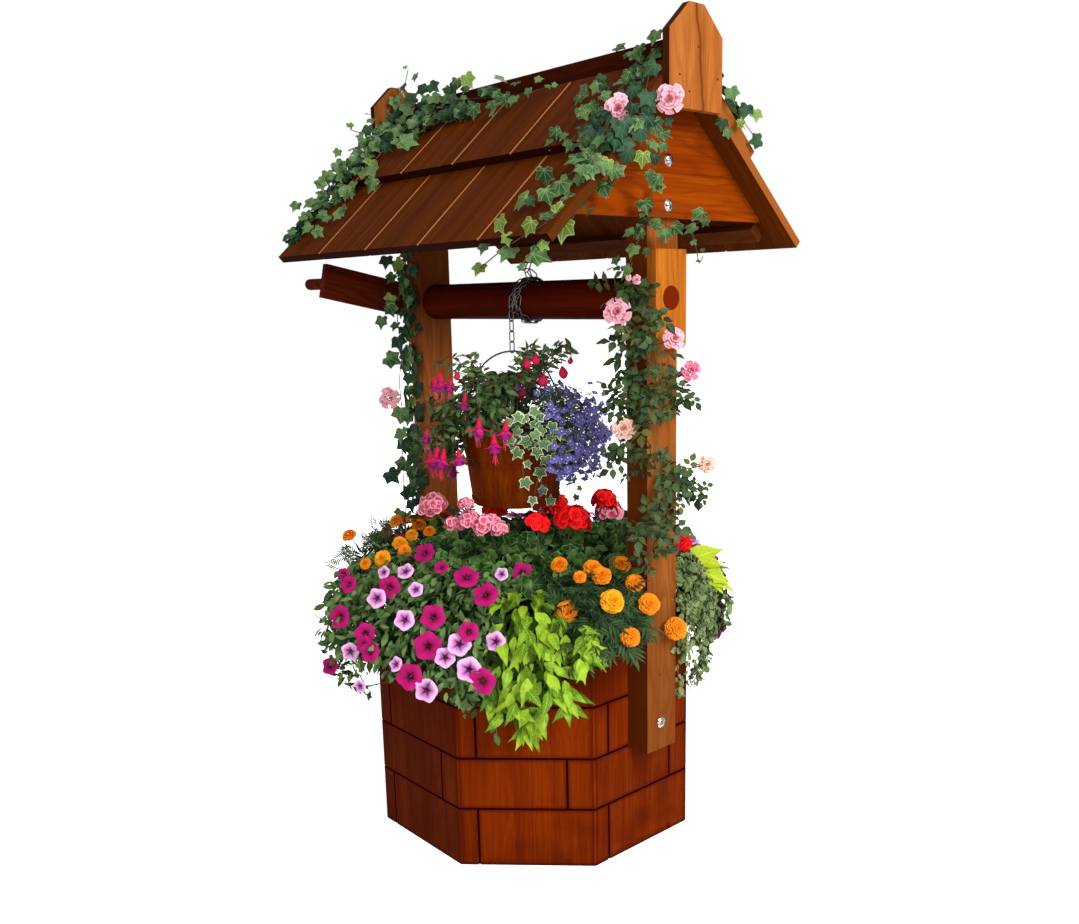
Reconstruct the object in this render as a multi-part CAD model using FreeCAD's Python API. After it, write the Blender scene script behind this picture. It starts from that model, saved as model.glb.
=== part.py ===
import FreeCAD, Part
import math
import os

from FreeCAD import Vector

# A timber wishing well used as a planter. Millimetres, +Z up. The windlass runs along X, the crank is at
# the -X end. The origin is on the ground at the middle of the octagonal base.

# Octagonal base
base_apothem = 360.0
wall_height = 488.0
wall_thickness = 22.0
wall_corner_chamfer = 2.5
first_course = 134.0
course_pitch = 118.0
groove_width = 5.0
groove_depth = 3.0
odd_joint_share = 0.14
even_joint_share = 0.80
bearer_width = 60.0
bearer_height = 20.0
bearer_spacing = 230.0
floor_thickness = 18.0
floor_gap = 0.5
drain_radius = 8.0
drain_ring_radius = 200.0
drain_count = 6
block_leg = 30.0
block_thickness = 12.0
block_below_rim = 8.0
liner_thickness = 2.0
liner_gap = 0.5
liner_below_rim = 18.0
soil_below_rim = 33.0

# Posts and bearing blocks
post_thickness = 58.0
post_width = 90.0
post_below_rim = 238.0
bearing_below_axle = 101.0
bearing_above_axle = 95.0
bearing_thickness = 24.0
bearing_corner = 14.0

# Roof
ridge_above_axle = 423.0
roof_pitch = 42.2
roof_half_length = 486.0
roof_board = 18.0
board_pitch = 194.4
lower_slope_length = 480.4
upper_slope_length = 240.3
board_vee = 3.0
ridge_board_thickness = 18.0
ridge_board_below = 28.0
ridge_board_above = 61.0
gable_thickness = 17.0
gable_low_board = 85.0
gable_depth = 268.0
gable_vee = 2.0
finial_width = 151.0
finial_thickness = 17.0
finial_below = 76.0
finial_shoulder_above = 60.0
finial_above = 112.0
finial_flat = 42.0
purlin_width = 38.0
purlin_depth = 19.0
purlin_places = (150.0, 400.0)
seat_gap = 0.3

# Fasteners
bolt_radius = 5.0
bolt_hole_play = 0.25
bolt_head_radius = 12.3
bolt_head_height = 5.4
washer_radius = 12.0
washer_thickness = 2.5
nut_flats = 17.0
nut_height = 8.0
base_bolt_drops = (178.0, 58.0)
gable_bolt_rise = 24.0
nail_radius = 2.0
nail_proud = 0.6
nail_places = ((5.0, 36.0), (-47.0, -18.0), (62.0, -15.0), (-20.0, -45.0))

# Windlass
axle_above_rim = 734.0
roller_radius = 43.0
roller_side_gap = 1.5
journal_radius = 24.3
journal_play = 0.05
thrust_washer_thickness = 3.7
thrust_washer_radius = 38.0
thrust_gap = 0.3
arm_thickness = 18.0
arm_width = 82.0
arm_reach = 275.0
arm_angle = 12.0
grip_radius = 14.0
grip_place = 240.0
grip_length = 143.0
grip_rounding = 10.0
lag_radius = 4.0
lag_length = 45.0
lag_head_flats = 16.0
lag_head_height = 7.0
lag_washer_radius = 18.0
lag_washer_thickness = 2.5

# Chain
chain_x = 1.5
link_wire = 2.8
link_width = 15.1
link_length = 29.6
link_play = 0.3
chain_roller_gap = 0.45
hanging_link_count = 4
winding_turns = 4
winding_first_x = 20.0
winding_pitch = 14.5
winding_radius = 5.5
winding_gap = 0.1

# Bucket, with its bail in the diagonal plane through its axis
bucket_height = 170.0
bucket_bottom_radius = 99.0
bucket_rim_radius = 120.5
stave_count = 16
stave_thickness = 12.0
stave_gap = 0.3
bucket_floor_rise = 10.0
bucket_floor_thickness = 12.0
bucket_soil_below_rim = 16.0
hoop_thickness = 2.0
hoop_bands = ((2.0, 19.0), (92.0, 106.0))
ear_width = 22.0
ear_thickness = 3.0
ear_below_rim = 54.0
ear_pin_above_rim = 13.0
ear_above_pin = 12.0
ear_rivet_drops = (43.0, 20.0)
rivet_radius = 4.0
rivet_height = 2.0
bail_wire_radius = 2.0
bail_height = 167.3
bail_below_axle = 113.7
bail_top_radius = 92.0
bail_pin_play = 0.06
bail_pin_in = 5.0
bail_pin_out = 12.0
bail_angle = 45.0
bail_link_gap = 0.5

# Planting: each plant is a plain closed mass of the size of its foliage and flowers. Sectors are in
# degrees about the upright axis of the base or of the bucket, profiles are pairs of radius and height
plant_gap = 0.3
mound_inner_radius = 152.0
dome_radius = 151.0
petunia_sector = (-158.0, -52.5)
rear_petunia_sector = (42.0, 171.0)
vine_sector = (-52.0, -31.5)
marigold_sector = (-31.0, -4.0)
rear_marigold_sector = (-188.0, -158.5)
creeper_sector = (8.0, 41.5)
ivy_depth = 34.0
verge_ivy_margin = 2.0
post_ivy_depth = 70.0
rose_depth = 60.0
climber_below_axle = 522.0
climber_above_axle = 96.0
low_rose_below_axle = 502.0
low_rose_gap = 11.0
low_rose_depth = 60.0
low_rose_side = 40.0
fuchsia_sector = (70.0, 270.0)
lobelia_sector = (-45.0, 69.5)
bucket_ivy_sector = (-89.5, -45.5)
bail_slot_half = 12.0
bail_slot_spread = 13.0
bail_slot_drop = 45.0
bail_slot_inner = 68.0
bail_slot_outer = 148.0
bail_slot_reach = 240.0
ear_room = 13.0
ear_room_depth = 22.0
ear_room_rise = 30.0

pitch = math.radians(roof_pitch)
axle_z = wall_height + axle_above_rim
ridge_z = axle_z + ridge_above_axle
block_top = wall_height - block_below_rim
liner_top = wall_height - liner_below_rim
soil_top = wall_height - soil_below_rim
post_bottom = wall_height - post_below_rim
base_bolt_heights = tuple(wall_height - drop for drop in base_bolt_drops)
bearing_low = axle_z - bearing_below_axle
bearing_high = axle_z + bearing_above_axle
ridge_board_bottom = ridge_z - ridge_board_below
ridge_board_top = ridge_z + ridge_board_above
gable_bottom = ridge_z - gable_depth
gable_joint = gable_bottom + gable_low_board
gable_bolt_heights = (gable_bottom + gable_bolt_rise, gable_joint + gable_bolt_rise)
finial_bottom = ridge_z - finial_below
finial_shoulder = ridge_z + finial_shoulder_above
finial_top = ridge_z + finial_above
bail_apex_z = axle_z - bail_below_axle
ear_pin_z = bail_apex_z - bail_height
rim_z = ear_pin_z - ear_pin_above_rim
bucket_bottom = rim_z - bucket_height
bucket_soil_top = rim_z - bucket_soil_below_rim
ear_low = rim_z - ear_below_rim
ear_rivet_heights = tuple(rim_z - drop for drop in ear_rivet_drops)
post_outer = base_apothem + post_thickness
bearing_outer = post_outer + bearing_thickness
gable_outer = post_outer + gable_thickness
wall_inner = base_apothem - wall_thickness
octagon_half = math.radians(22.5)
bolt_hole = bolt_radius + bolt_hole_play
floor_bottom = bearer_height
floor_top = floor_bottom + floor_thickness
liner_apothem = wall_inner - block_thickness - liner_gap
chain_y = -(roller_radius + link_width / 2 + chain_roller_gap)
link_pitch = link_length - 2 * link_wire - link_play
origin = Vector(0, 0, 0)
along_x = Vector(1, 0, 0)
upward = Vector(0, 0, 1)

built = {}


def keep(name, *solids):
    """Writes one node, a single solid or a group of separate ones."""
    shape = solids[0] if len(solids) == 1 else Part.makeCompound(list(solids))
    built[name] = shape
    shape.exportStep(f"parts/{name}.step")


def box(x0, x1, y0, y1, z0, z1):
    """Block between two corners."""
    return Part.makeBox(x1 - x0, y1 - y0, z1 - z0, Vector(x0, y0, z0))


def rod(radius, start, end):
    """Round bar between two points."""
    return Part.makeCylinder(radius, (end - start).Length, start, end - start)


def prism(points, along):
    """Flat outline pushed along a vector."""
    return Part.Face(Part.makePolygon(points + [points[0]])).extrude(along)


def turned(points, centre=origin, axis=upward, degrees=360.0):
    """Flat outline turned about an axis."""
    return Part.Face(Part.makePolygon(points + [points[0]])).revolve(centre, axis, degrees)


def polygon_points(apothem, z, sides):
    """Corners of a regular polygon whose flats face along X."""
    corner = apothem / math.cos(math.pi / sides)
    angles = [(2 * k + 1) * math.pi / sides for k in range(sides)]
    return [Vector(corner * math.cos(a), corner * math.sin(a), z) for a in angles]


def octagon(apothem, z0, z1):
    """Upright octagonal prism."""
    return prism(polygon_points(apothem, z0, 8), Vector(0, 0, z1 - z0))


def to_side(shape, degrees):
    """Turned copy about the upright axis of the base."""
    copy = shape.copy()
    copy.rotate(origin, upward, degrees)
    return copy


def wall_panel(number):
    """One mitred panel with its routed courses, made facing +X and then turned to its side."""
    half = base_apothem * math.tan(octagon_half)
    inner_half = wall_inner * math.tan(octagon_half)
    cut = half - wall_corner_chamfer
    corner = cut * math.sin(octagon_half) + base_apothem * math.cos(octagon_half)
    corner_x = corner * math.cos(octagon_half)
    corner_y = corner * math.sin(octagon_half)
    outline = [
        Vector(base_apothem, -cut, 0),
        Vector(base_apothem, cut, 0),
        Vector(corner_x, corner_y, 0),
        Vector(wall_inner, inner_half, 0),
        Vector(wall_inner, -inner_half, 0),
        Vector(corner_x, -corner_y, 0),
    ]
    panel = prism(outline, Vector(0, 0, wall_height))
    low = base_apothem - groove_depth
    courses = [0.0, first_course, first_course + course_pitch, first_course + 2 * course_pitch, wall_height]
    for z in courses[1:-1]:
        groove = box(low, base_apothem + 1, -half, half, z - groove_width / 2, z + groove_width / 2)
        panel = panel.cut(groove)
    for index, (z0, z1) in enumerate(zip(courses, courses[1:])):
        share = even_joint_share if index % 2 else odd_joint_share
        y = -half + 2 * half * share
        panel = panel.cut(box(low, base_apothem + 1, y - groove_width / 2, y + groove_width / 2, z0, z1))
    if number in (0, 4):
        for z in base_bolt_heights:
            panel = panel.cut(rod(bolt_hole, Vector(wall_inner - 1, 0, z), Vector(base_apothem + 1, 0, z)))
    return to_side(panel, 45.0 * number)


def corner_block(number):
    """Glue block behind one mitre."""
    turn = octagon_half
    inner = Vector(wall_inner, wall_inner * math.tan(turn), 0)
    shrunk = wall_inner - block_thickness
    inner_corner = Vector(shrunk, shrunk * math.tan(turn), 0)
    side = Vector(math.cos(2 * turn), math.sin(2 * turn), 0)
    along = Vector(-math.sin(2 * turn), math.cos(2 * turn), 0)
    first = inner - Vector(0, block_leg, 0)
    last = inner + along * block_leg
    outline = [
        inner,
        first,
        first - Vector(block_thickness, 0, 0),
        inner_corner,
        last - side * block_thickness,
        last,
    ]
    outline = [p + Vector(0, 0, floor_top) for p in outline]
    return to_side(prism(outline, Vector(0, 0, block_top - floor_top)), 45.0 * number)


def carriage_bolt(z, head_x, end_x):
    """Bolt along X with its domed head at head_x and its plain end at end_x."""
    out = 1 if head_x > end_x else -1
    sphere = (bolt_head_radius**2 + bolt_head_height**2) / (2 * bolt_head_height)
    middle_angle = math.asin(bolt_head_radius / sphere) / 2
    crown = Vector(head_x + out * bolt_head_height, 0, z)
    rim = Vector(head_x, bolt_head_radius, z)
    drop = sphere * (1 - math.cos(middle_angle))
    middle = Vector(crown.x - out * drop, sphere * math.sin(middle_angle), z)
    centre = Vector(head_x, 0, z)
    edges = [
        Part.Arc(crown, middle, rim).toShape(),
        Part.makeLine(rim, centre),
        Part.makeLine(centre, crown),
    ]
    head = Part.Face(Part.Wire(edges)).revolve(centre, along_x, 360)
    return head.fuse(rod(bolt_radius, centre, Vector(end_x, 0, z))).removeSplitter()


def nut_and_washer(z, face_x, inward):
    """Washer and hexagon nut on the inner end of a bolt, as two solids."""
    seat = Vector(face_x, 0, z)
    under = Vector(face_x + inward * washer_thickness, 0, z)
    top = Vector(under.x + inward * nut_height, 0, z)
    bore = rod(bolt_radius, seat, top)
    washer = rod(washer_radius, seat, under).cut(bore)
    corner = nut_flats / 2 / math.cos(math.pi / 6)
    ring = [
        Vector(under.x, corner * math.cos(k * math.pi / 3), z + corner * math.sin(k * math.pi / 3))
        for k in range(6)
    ]
    return washer, prism(ring, top - under).cut(bore)


def roof_underside(y):
    """Height of the underside of the roof boards at a distance from the ridge line."""
    return ridge_z - abs(y) * math.tan(pitch)


def on_slope(side, x, down, rise):
    """Point of a slope: distance down from the ridge, and rise above the underside of the boards."""
    y = side * (down * math.cos(pitch) + rise * math.sin(pitch))
    return Vector(x, y, ridge_z - down * math.sin(pitch) + rise * math.cos(pitch))


def roof_plank(side, x0, x1, down0, down1, rise0, rise1):
    """Roof board with vee edges where it meets its neighbours; the verge edge stays square."""
    vee0 = 0.0 if x0 <= -roof_half_length else board_vee
    vee1 = 0.0 if x1 >= roof_half_length else board_vee
    section = [
        (x0 + vee0, rise0),
        (x1 - vee1, rise0),
        (x1, rise0 + vee1),
        (x1, rise1 - vee1),
        (x1 - vee1, rise1),
        (x0 + vee0, rise1),
        (x0, rise1 - vee0),
        (x0, rise0 + vee0),
    ]
    points = []
    for x, rise in section:
        point = on_slope(side, x, down0, rise)
        if not points or (point - points[-1]).Length > 0.01:
            points.append(point)
    if (points[0] - points[-1]).Length < 0.01:
        points.pop()
    return prism(points, on_slope(side, 0, down1, 0) - on_slope(side, 0, down0, 0))


def slope_block(side, x0, x1, down0, down1, rise0, rise1):
    """Plain block lying on a slope."""
    ends = [(down0, rise0), (down1, rise0), (down1, rise1), (down0, rise1)]
    return prism([on_slope(side, x0, d, r) for d, r in ends], Vector(x1 - x0, 0, 0))


# Base
for k in range(8):
    keep(f"wall_panel_{k + 1}", wall_panel(k))

bearers = []
for y in (-bearer_spacing, 0.0, bearer_spacing):
    reach = wall_inner - floor_gap
    if y:
        edge = abs(y) + bearer_width / 2
        reach = min(reach, reach * math.sqrt(2) - edge)
    low, high = y - bearer_width / 2, y + bearer_width / 2
    bearers.append(box(-reach, reach, low, high, 0, bearer_height))
keep("floor_bearers", *bearers)

floor_board = octagon(wall_inner - floor_gap, floor_bottom, floor_top)
for k in range(drain_count):
    angle = (2 * k + 1) * math.pi / drain_count
    place = to_side(Part.Vertex(drain_ring_radius, 0, floor_bottom - 1), math.degrees(angle)).Point
    floor_board = floor_board.cut(rod(drain_radius, place, place + Vector(0, 0, floor_thickness + 2)))
keep("base_floor", floor_board)
keep("corner_blocks", *[corner_block(k) for k in range(8)])

liner = octagon(liner_apothem, floor_top, liner_top)
liner = liner.cut(octagon(liner_apothem - liner_thickness, floor_top + liner_thickness, liner_top + 1))
keep("planter_liner", liner)
keep("potting_soil", octagon(liner_apothem - liner_thickness, floor_top + liner_thickness, soil_top))


# Posts with their bearing blocks and gable boards, at the +X end and then mirrored to the crank end
def post():
    """Post whose top follows the roof and carries the ridge board."""
    half = post_width / 2
    flat = (ridge_z - seat_gap - ridge_board_bottom) / math.tan(pitch)
    shoulder = roof_underside(half) - seat_gap
    outline = [
        (-half, post_bottom),
        (half, post_bottom),
        (half, shoulder),
        (flat, ridge_board_bottom),
        (-flat, ridge_board_bottom),
        (-half, shoulder),
    ]
    shape = prism([Vector(base_apothem, y, z) for y, z in outline], Vector(post_thickness, 0, 0))
    for z in base_bolt_heights + gable_bolt_heights:
        shape = shape.cut(rod(bolt_hole, Vector(base_apothem - 1, 0, z), Vector(post_outer + 1, 0, z)))
    return shape.cut(axle_bore(base_apothem - 1, post_outer + 1))


def axle_bore(x0, x1):
    """Running bore for the journal."""
    return rod(journal_radius + journal_play, Vector(x0, 0, axle_z), Vector(x1, 0, axle_z))


def bearing_block():
    """Outer block with its two lower corners rounded."""
    half = post_width / 2
    shape = box(post_outer, bearing_outer, -half, half, bearing_low, bearing_high)
    lower = [e for e in shape.Edges if abs(e.CenterOfMass.z - bearing_low) < 0.01]
    lower = [e for e in lower if abs(abs(e.CenterOfMass.y) - half) < 0.01]
    return shape.makeFillet(bearing_corner, lower).cut(axle_bore(post_outer - 1, bearing_outer + 1))


def gable_half(z):
    """Half width of the gable at a height, just under the roof boards."""
    return (ridge_z - seat_gap - z) / math.tan(pitch)


def gable_board(z0, z1, bolt_z, vee_low, vee_high):
    """One gable board with a vee along the joint between the boards."""
    outline = [
        (-gable_half(z0), z0),
        (gable_half(z0), z0),
        (gable_half(z1), z1),
        (-gable_half(z1), z1),
    ]
    shape = prism([Vector(post_outer, y, z) for y, z in outline], Vector(gable_thickness, 0, 0))
    reach = gable_half(z0) + 1
    for edge_z, inward in ((z0, vee_low), (z1, -vee_high)):
        if inward:
            wedge = [
                Vector(gable_outer, -reach, edge_z),
                Vector(gable_outer - abs(inward), -reach, edge_z),
                Vector(gable_outer, -reach, edge_z + inward),
            ]
            shape = shape.cut(prism(wedge, Vector(0, 2 * reach, 0)))
    return shape.cut(rod(bolt_hole, Vector(post_outer - 1, 0, bolt_z), Vector(gable_outer + 1, 0, bolt_z)))


def finial():
    """Pointed end board, nailed to the ends of the ridge board and the roof boards."""
    half = finial_width / 2
    flat = finial_flat / 2
    outline = [
        (-half, finial_bottom),
        (half, finial_bottom),
        (half, finial_shoulder),
        (flat, finial_top),
        (-flat, finial_top),
        (-half, finial_shoulder),
    ]
    shape = prism([Vector(roof_half_length, y, z) for y, z in outline], Vector(finial_thickness, 0, 0))
    for nail in nails():
        shape = shape.cut(nail)
    return shape


def nails():
    """Nails of one finial, seated just proud of its face."""
    face = roof_half_length + finial_thickness
    inner = roof_half_length
    places = [(y, ridge_z + above) for y, above in nail_places]
    return [rod(nail_radius, Vector(inner, y, z), Vector(face + nail_proud, y, z)) for y, z in places]


def both_ends(name, solids):
    """Writes the front node and its mirrored crank end node."""
    keep(f"front_{name}", *solids)
    keep(f"crank_{name}", *[s.mirror(origin, along_x) for s in solids])


def with_mirror(solids):
    """The solids of one end and their mirrored copies."""
    return solids + [s.mirror(origin, along_x) for s in solids]


both_ends("post", [post()])
both_ends("bearing_block", [bearing_block()])
both_ends(
    "gable_boards",
    [
        gable_board(gable_bottom, gable_joint, gable_bolt_heights[0], 0.0, gable_vee),
        gable_board(gable_joint, ridge_board_bottom, gable_bolt_heights[1], gable_vee, 0.0),
    ],
)
both_ends("finial", [finial()])
keep("finial_nails", *with_mirror(nails()))

bolt_end = washer_thickness + nut_height
base_bolts = [carriage_bolt(z, post_outer, wall_inner - bolt_end) for z in base_bolt_heights]
gable_bolts = [carriage_bolt(z, gable_outer, base_apothem - bolt_end) for z in gable_bolt_heights]
keep("base_bolts", *with_mirror(base_bolts))
keep("gable_bolts", *with_mirror(gable_bolts))
base_nuts = [part for z in base_bolt_heights for part in nut_and_washer(z, wall_inner, -1)]
gable_nuts = [part for z in gable_bolt_heights for part in nut_and_washer(z, base_apothem, -1)]
keep("base_nuts", *with_mirror(base_nuts))
keep("gable_nuts", *with_mirror(gable_nuts))

# Roof
half_ridge = ridge_board_thickness / 2
ridge_z0, ridge_z1 = ridge_board_bottom, ridge_board_top
ridge_board = box(-roof_half_length, roof_half_length, -half_ridge, half_ridge, ridge_z0, ridge_z1)
keep("ridge_board", ridge_board)
top_down = half_ridge / math.cos(pitch)
purlins = []
for side in (-1, 1):
    for place in purlin_places:
        ends = (side, -post_outer, post_outer, place, place + purlin_width, -purlin_depth, 0.0)
        purlins.append(slope_block(*ends))
keep("roof_purlins", *purlins)


def board_edges(offset):
    """Edges of the boards along the ridge, the end ones cut at the verge."""
    count = int(roof_half_length / board_pitch) + 2
    inner = [offset + k * board_pitch for k in range(-count, count + 1)]
    inner = [x for x in inner if abs(x) < roof_half_length - 1]
    return [-roof_half_length] + inner + [roof_half_length]


for side, word in ((-1, "left"), (1, "right")):
    lower = board_edges(board_pitch / 2)
    planks = [
        roof_plank(side, x0, x1, top_down, lower_slope_length, 0.0, roof_board)
        for x0, x1 in zip(lower, lower[1:])
    ]
    keep(f"{word}_lower_boards", *planks)
    upper = board_edges(0.0)
    planks = [
        roof_plank(side, x0, x1, top_down, upper_slope_length, roof_board, 2 * roof_board)
        for x0, x1 in zip(upper, upper[1:])
    ]
    keep(f"{word}_upper_boards", *planks)

# Windlass
roller_half = base_apothem - roller_side_gap
arm_inner_x = -(bearing_outer + thrust_gap + thrust_washer_thickness)
arm_outer_x = arm_inner_x - arm_thickness
arm_turn = math.radians(arm_angle)
arm_way = Vector(0, -math.cos(arm_turn), math.sin(arm_turn))
arm_side = Vector(0, math.sin(arm_turn), math.cos(arm_turn))
axle_point = Vector(0, 0, axle_z)


def on_axle(x):
    """Point of the windlass axis."""
    return Vector(x, 0, axle_z)


roller = rod(roller_radius, on_axle(-roller_half), on_axle(roller_half))
roller = roller.fuse(rod(journal_radius, on_axle(arm_outer_x), on_axle(bearing_outer)))
roller = roller.cut(rod(lag_radius, on_axle(arm_outer_x - 1), on_axle(arm_outer_x + lag_length)))
keep("windlass_roller", roller.removeSplitter())

arm_start = on_axle(arm_inner_x)
arm_back = Vector(-arm_thickness, 0, 0)
arm_corners = [
    arm_start + arm_side * (arm_width / 2),
    arm_start + arm_side * (arm_width / 2) + arm_way * arm_reach,
    arm_start - arm_side * (arm_width / 2) + arm_way * arm_reach,
    arm_start - arm_side * (arm_width / 2),
]
arm = prism(arm_corners, arm_back).fuse(rod(arm_width / 2, arm_start, arm_start + arm_back))
arm = arm.cut(rod(journal_radius, on_axle(arm_inner_x + 1), on_axle(arm_outer_x - 1)))
grip_start = arm_start + arm_way * grip_place
grip_end_x = arm_inner_x - grip_length
grip_finish = Vector(grip_end_x, grip_start.y, grip_start.z)
arm = arm.cut(rod(grip_radius, grip_start + Vector(1, 0, 0), grip_finish))
keep("crank_arm", arm.removeSplitter())

grip = rod(grip_radius, grip_start, grip_finish)
tip = [e for e in grip.Edges if abs(e.CenterOfMass.x - grip_end_x) < 0.01 and e.Length > grip_radius * 3]
keep("crank_grip", grip.makeFillet(grip_rounding, tip))

thrust = rod(thrust_washer_radius, on_axle(arm_inner_x), on_axle(arm_inner_x + thrust_washer_thickness))
keep("thrust_washer", thrust.cut(rod(journal_radius, on_axle(arm_inner_x - 1), on_axle(-post_outer))))

lag_seat = arm_outer_x - lag_washer_thickness
lag_corner = lag_head_flats / 2 / math.cos(math.pi / 6)
lag_angles = [k * math.pi / 3 for k in range(6)]
lag_ring = [
    Vector(lag_seat, lag_corner * math.cos(a), axle_z + lag_corner * math.sin(a))
    for a in lag_angles
]
lag = prism(lag_ring, Vector(-lag_head_height, 0, 0))
lag = lag.fuse(rod(lag_radius, on_axle(lag_seat), on_axle(arm_outer_x + lag_length)))
lag_washer = rod(lag_washer_radius, on_axle(arm_outer_x), on_axle(lag_seat))
lag_washer = lag_washer.cut(rod(lag_radius, on_axle(arm_outer_x + 1), on_axle(lag_seat - 1)))
keep("crank_screw", lag.removeSplitter(), lag_washer)

winding = []
for turn in range(winding_turns):
    ring_centre = on_axle(winding_first_x + turn * winding_pitch)
    ring_radius = roller_radius + winding_radius + winding_gap
    winding.append(Part.makeTorus(ring_radius, winding_radius, ring_centre, along_x))
keep("chain_winding", *winding)


# Chain: links turned alternately into the planes of X and of Y
def chain_link(bottom_z, across):
    """One oval link; bottom_z is the middle of its lowest wire, across the way its loop opens."""
    end_radius = (link_width - link_wire) / 2
    straight = link_length - link_width
    base = Vector(chain_x, chain_y, bottom_z + end_radius)
    top = base + Vector(0, 0, straight)
    face_way = across.cross(upward)
    wire = link_wire / 2
    shape = None
    for sign in (-1, 1):
        side_way = across * (sign * end_radius)
        bar = rod(wire, base + side_way, top + side_way)
        centre = top if sign > 0 else base
        section = Part.Face(Part.Wire(Part.makeCircle(wire, centre + side_way, upward)))
        bend = section.revolve(centre, face_way, 180)
        shape = bar.fuse(bend) if shape is None else shape.fuse([bar, bend])
    return shape.removeSplitter()


along_y = Vector(0, 1, 0)
end_link_bottom = bail_apex_z - bail_wire_radius - bail_link_gap - link_wire / 2
keep("end_link", chain_link(end_link_bottom, along_y))
hanging = [
    chain_link(end_link_bottom + (k + 1) * link_pitch, along_y if k % 2 else along_x)
    for k in range(hanging_link_count)
]
keep("hanging_chain", *hanging)

# Bucket: modelled about its own upright axis with the ears along X, then turned and set under the chain
bucket_place = Vector(chain_x, chain_y, 0)


def place_bucket_part(shape):
    """Copy turned into the plane of the bail and moved under the chain."""
    copy = to_side(shape, bail_angle)
    copy.translate(bucket_place)
    return copy


def bucket_radius(z):
    """Distance of the outer flats of the staves from the bucket's axis."""
    share = (z - bucket_bottom) / bucket_height
    return bucket_bottom_radius + share * (bucket_rim_radius - bucket_bottom_radius)


def tapered(z0, z1, offset):
    """Many sided frustum, offset outwards from the outer flats of the staves."""
    rings = []
    for z in (z0, z1):
        points = polygon_points(bucket_radius(z) + offset, z, stave_count)
        rings.append(Part.makePolygon(points + [points[0]]))
    return Part.makeLoft(rings, True, True)


def stave(number):
    """One tapered stave with a hair gap to its neighbours."""
    rings = []
    step = math.pi / stave_count
    for z in (bucket_bottom, rim_z):
        outer = bucket_radius(z)
        inner = outer - stave_thickness
        points = []
        for radius, sign in ((outer, -1), (outer, 1), (inner, 1), (inner, -1)):
            half = radius * math.tan(step) - stave_gap / 2
            points.append(Vector(radius, sign * half, z))
        rings.append(Part.makePolygon(points + [points[0]]))
    return to_side(Part.makeLoft(rings, True, True), number * 360.0 / stave_count)


keep("bucket_staves", *[place_bucket_part(stave(k)) for k in range(stave_count)])
floor_z = bucket_bottom + bucket_floor_rise
bucket_floor = tapered(floor_z, floor_z + bucket_floor_thickness, -stave_thickness)
keep("bucket_floor", place_bucket_part(bucket_floor))
bucket_soil = tapered(floor_z + bucket_floor_thickness, bucket_soil_top, -stave_thickness)
keep("bucket_soil", place_bucket_part(bucket_soil))
hoops = []
for low, high in hoop_bands:
    z0, z1 = bucket_bottom + low, bucket_bottom + high
    hoops.append(place_bucket_part(tapered(z0, z1, hoop_thickness).cut(tapered(z0 - 1, z1 + 1, 0.0))))
keep("bucket_hoops", *hoops)


def ear(side):
    """Strap ear that follows the slope of the staves and stands above the rim, with two rivet heads."""
    high = ear_pin_z + ear_above_pin
    half = ear_width / 2
    outline = [
        Vector(bucket_radius(ear_low), -half, ear_low),
        Vector(bucket_radius(high), -half, high),
        Vector(bucket_radius(high) + ear_thickness, -half, high),
        Vector(bucket_radius(ear_low) + ear_thickness, -half, ear_low),
    ]
    shape = prism(outline, Vector(0, ear_width, 0))
    top_edges = [e for e in shape.Edges if e.CenterOfMass.z > high - 0.01 and e.Length < ear_thickness + 1]
    shape = shape.makeFillet(half - 1, top_edges)
    for z in ear_rivet_heights:
        seat = Vector(bucket_radius(z), 0, z)
        shape = shape.fuse(rod(rivet_radius, seat, seat + Vector(ear_thickness + rivet_height, 0, 0)))
    reach = bucket_radius(high) + ear_thickness + 1
    bore = rod(bail_wire_radius + bail_pin_play, Vector(0, 0, ear_pin_z), Vector(reach, 0, ear_pin_z))
    shape = shape.cut(bore).removeSplitter()
    shape = shape.cut(tapered(ear_low - 5, rim_z, 0.0))
    return to_side(shape, 0.0 if side > 0 else 180.0)


keep("bucket_ears", *[place_bucket_part(ear(side)) for side in (-1, 1)])


def bail():
    """Wire bail: two pins in the ears, slanting legs, and a round top that hangs in the end link."""
    centre = Vector(0, 0, bail_apex_z - bail_top_radius)
    pin_in = bucket_radius(ear_pin_z) - bail_pin_in
    pin_out = bucket_radius(ear_pin_z) + ear_thickness + bail_pin_out
    elbow = Vector(pin_out, 0, ear_pin_z)
    span = elbow - centre
    angle = math.atan2(span.z, span.x) + math.acos(bail_top_radius / span.Length)
    touch = centre + Vector(bail_top_radius * math.cos(angle), 0, bail_top_radius * math.sin(angle))
    pieces = []
    for side in (1, -1):
        pin_end = Vector(side * pin_in, 0, ear_pin_z)
        corner = Vector(side * elbow.x, 0, elbow.z)
        leg_end = Vector(side * touch.x, 0, touch.z)
        pieces.append(rod(bail_wire_radius, pin_end, corner))
        pieces.append(Part.makeSphere(bail_wire_radius, corner))
        pieces.append(rod(bail_wire_radius, corner, leg_end))
    tangent = Vector(-math.sin(angle), 0, math.cos(angle))
    section = Part.Face(Part.Wire(Part.makeCircle(bail_wire_radius, touch, tangent)))
    top = section.revolve(centre, Vector(0, -1, 0), 180.0 - 2 * math.degrees(angle))
    return top.fuse(pieces).removeSplitter()


keep("bucket_bail", place_bucket_part(bail()))


# Planting
post_keepout = []
for side in (-1, 1):
    x0, x1 = sorted((side * (base_apothem - 1), side * (post_outer + bolt_head_height + plant_gap)))
    half = post_width / 2 + plant_gap
    post_keepout.append(box(x0, x1, -half, half, 0, bearing_high))
rim_outer = octagon(base_apothem + plant_gap, -1, wall_height + plant_gap)
rim_inner = octagon(liner_apothem - liner_thickness - plant_gap, soil_top, wall_height + 2)
rim_keepout = rim_outer.cut(rim_inner)


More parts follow.
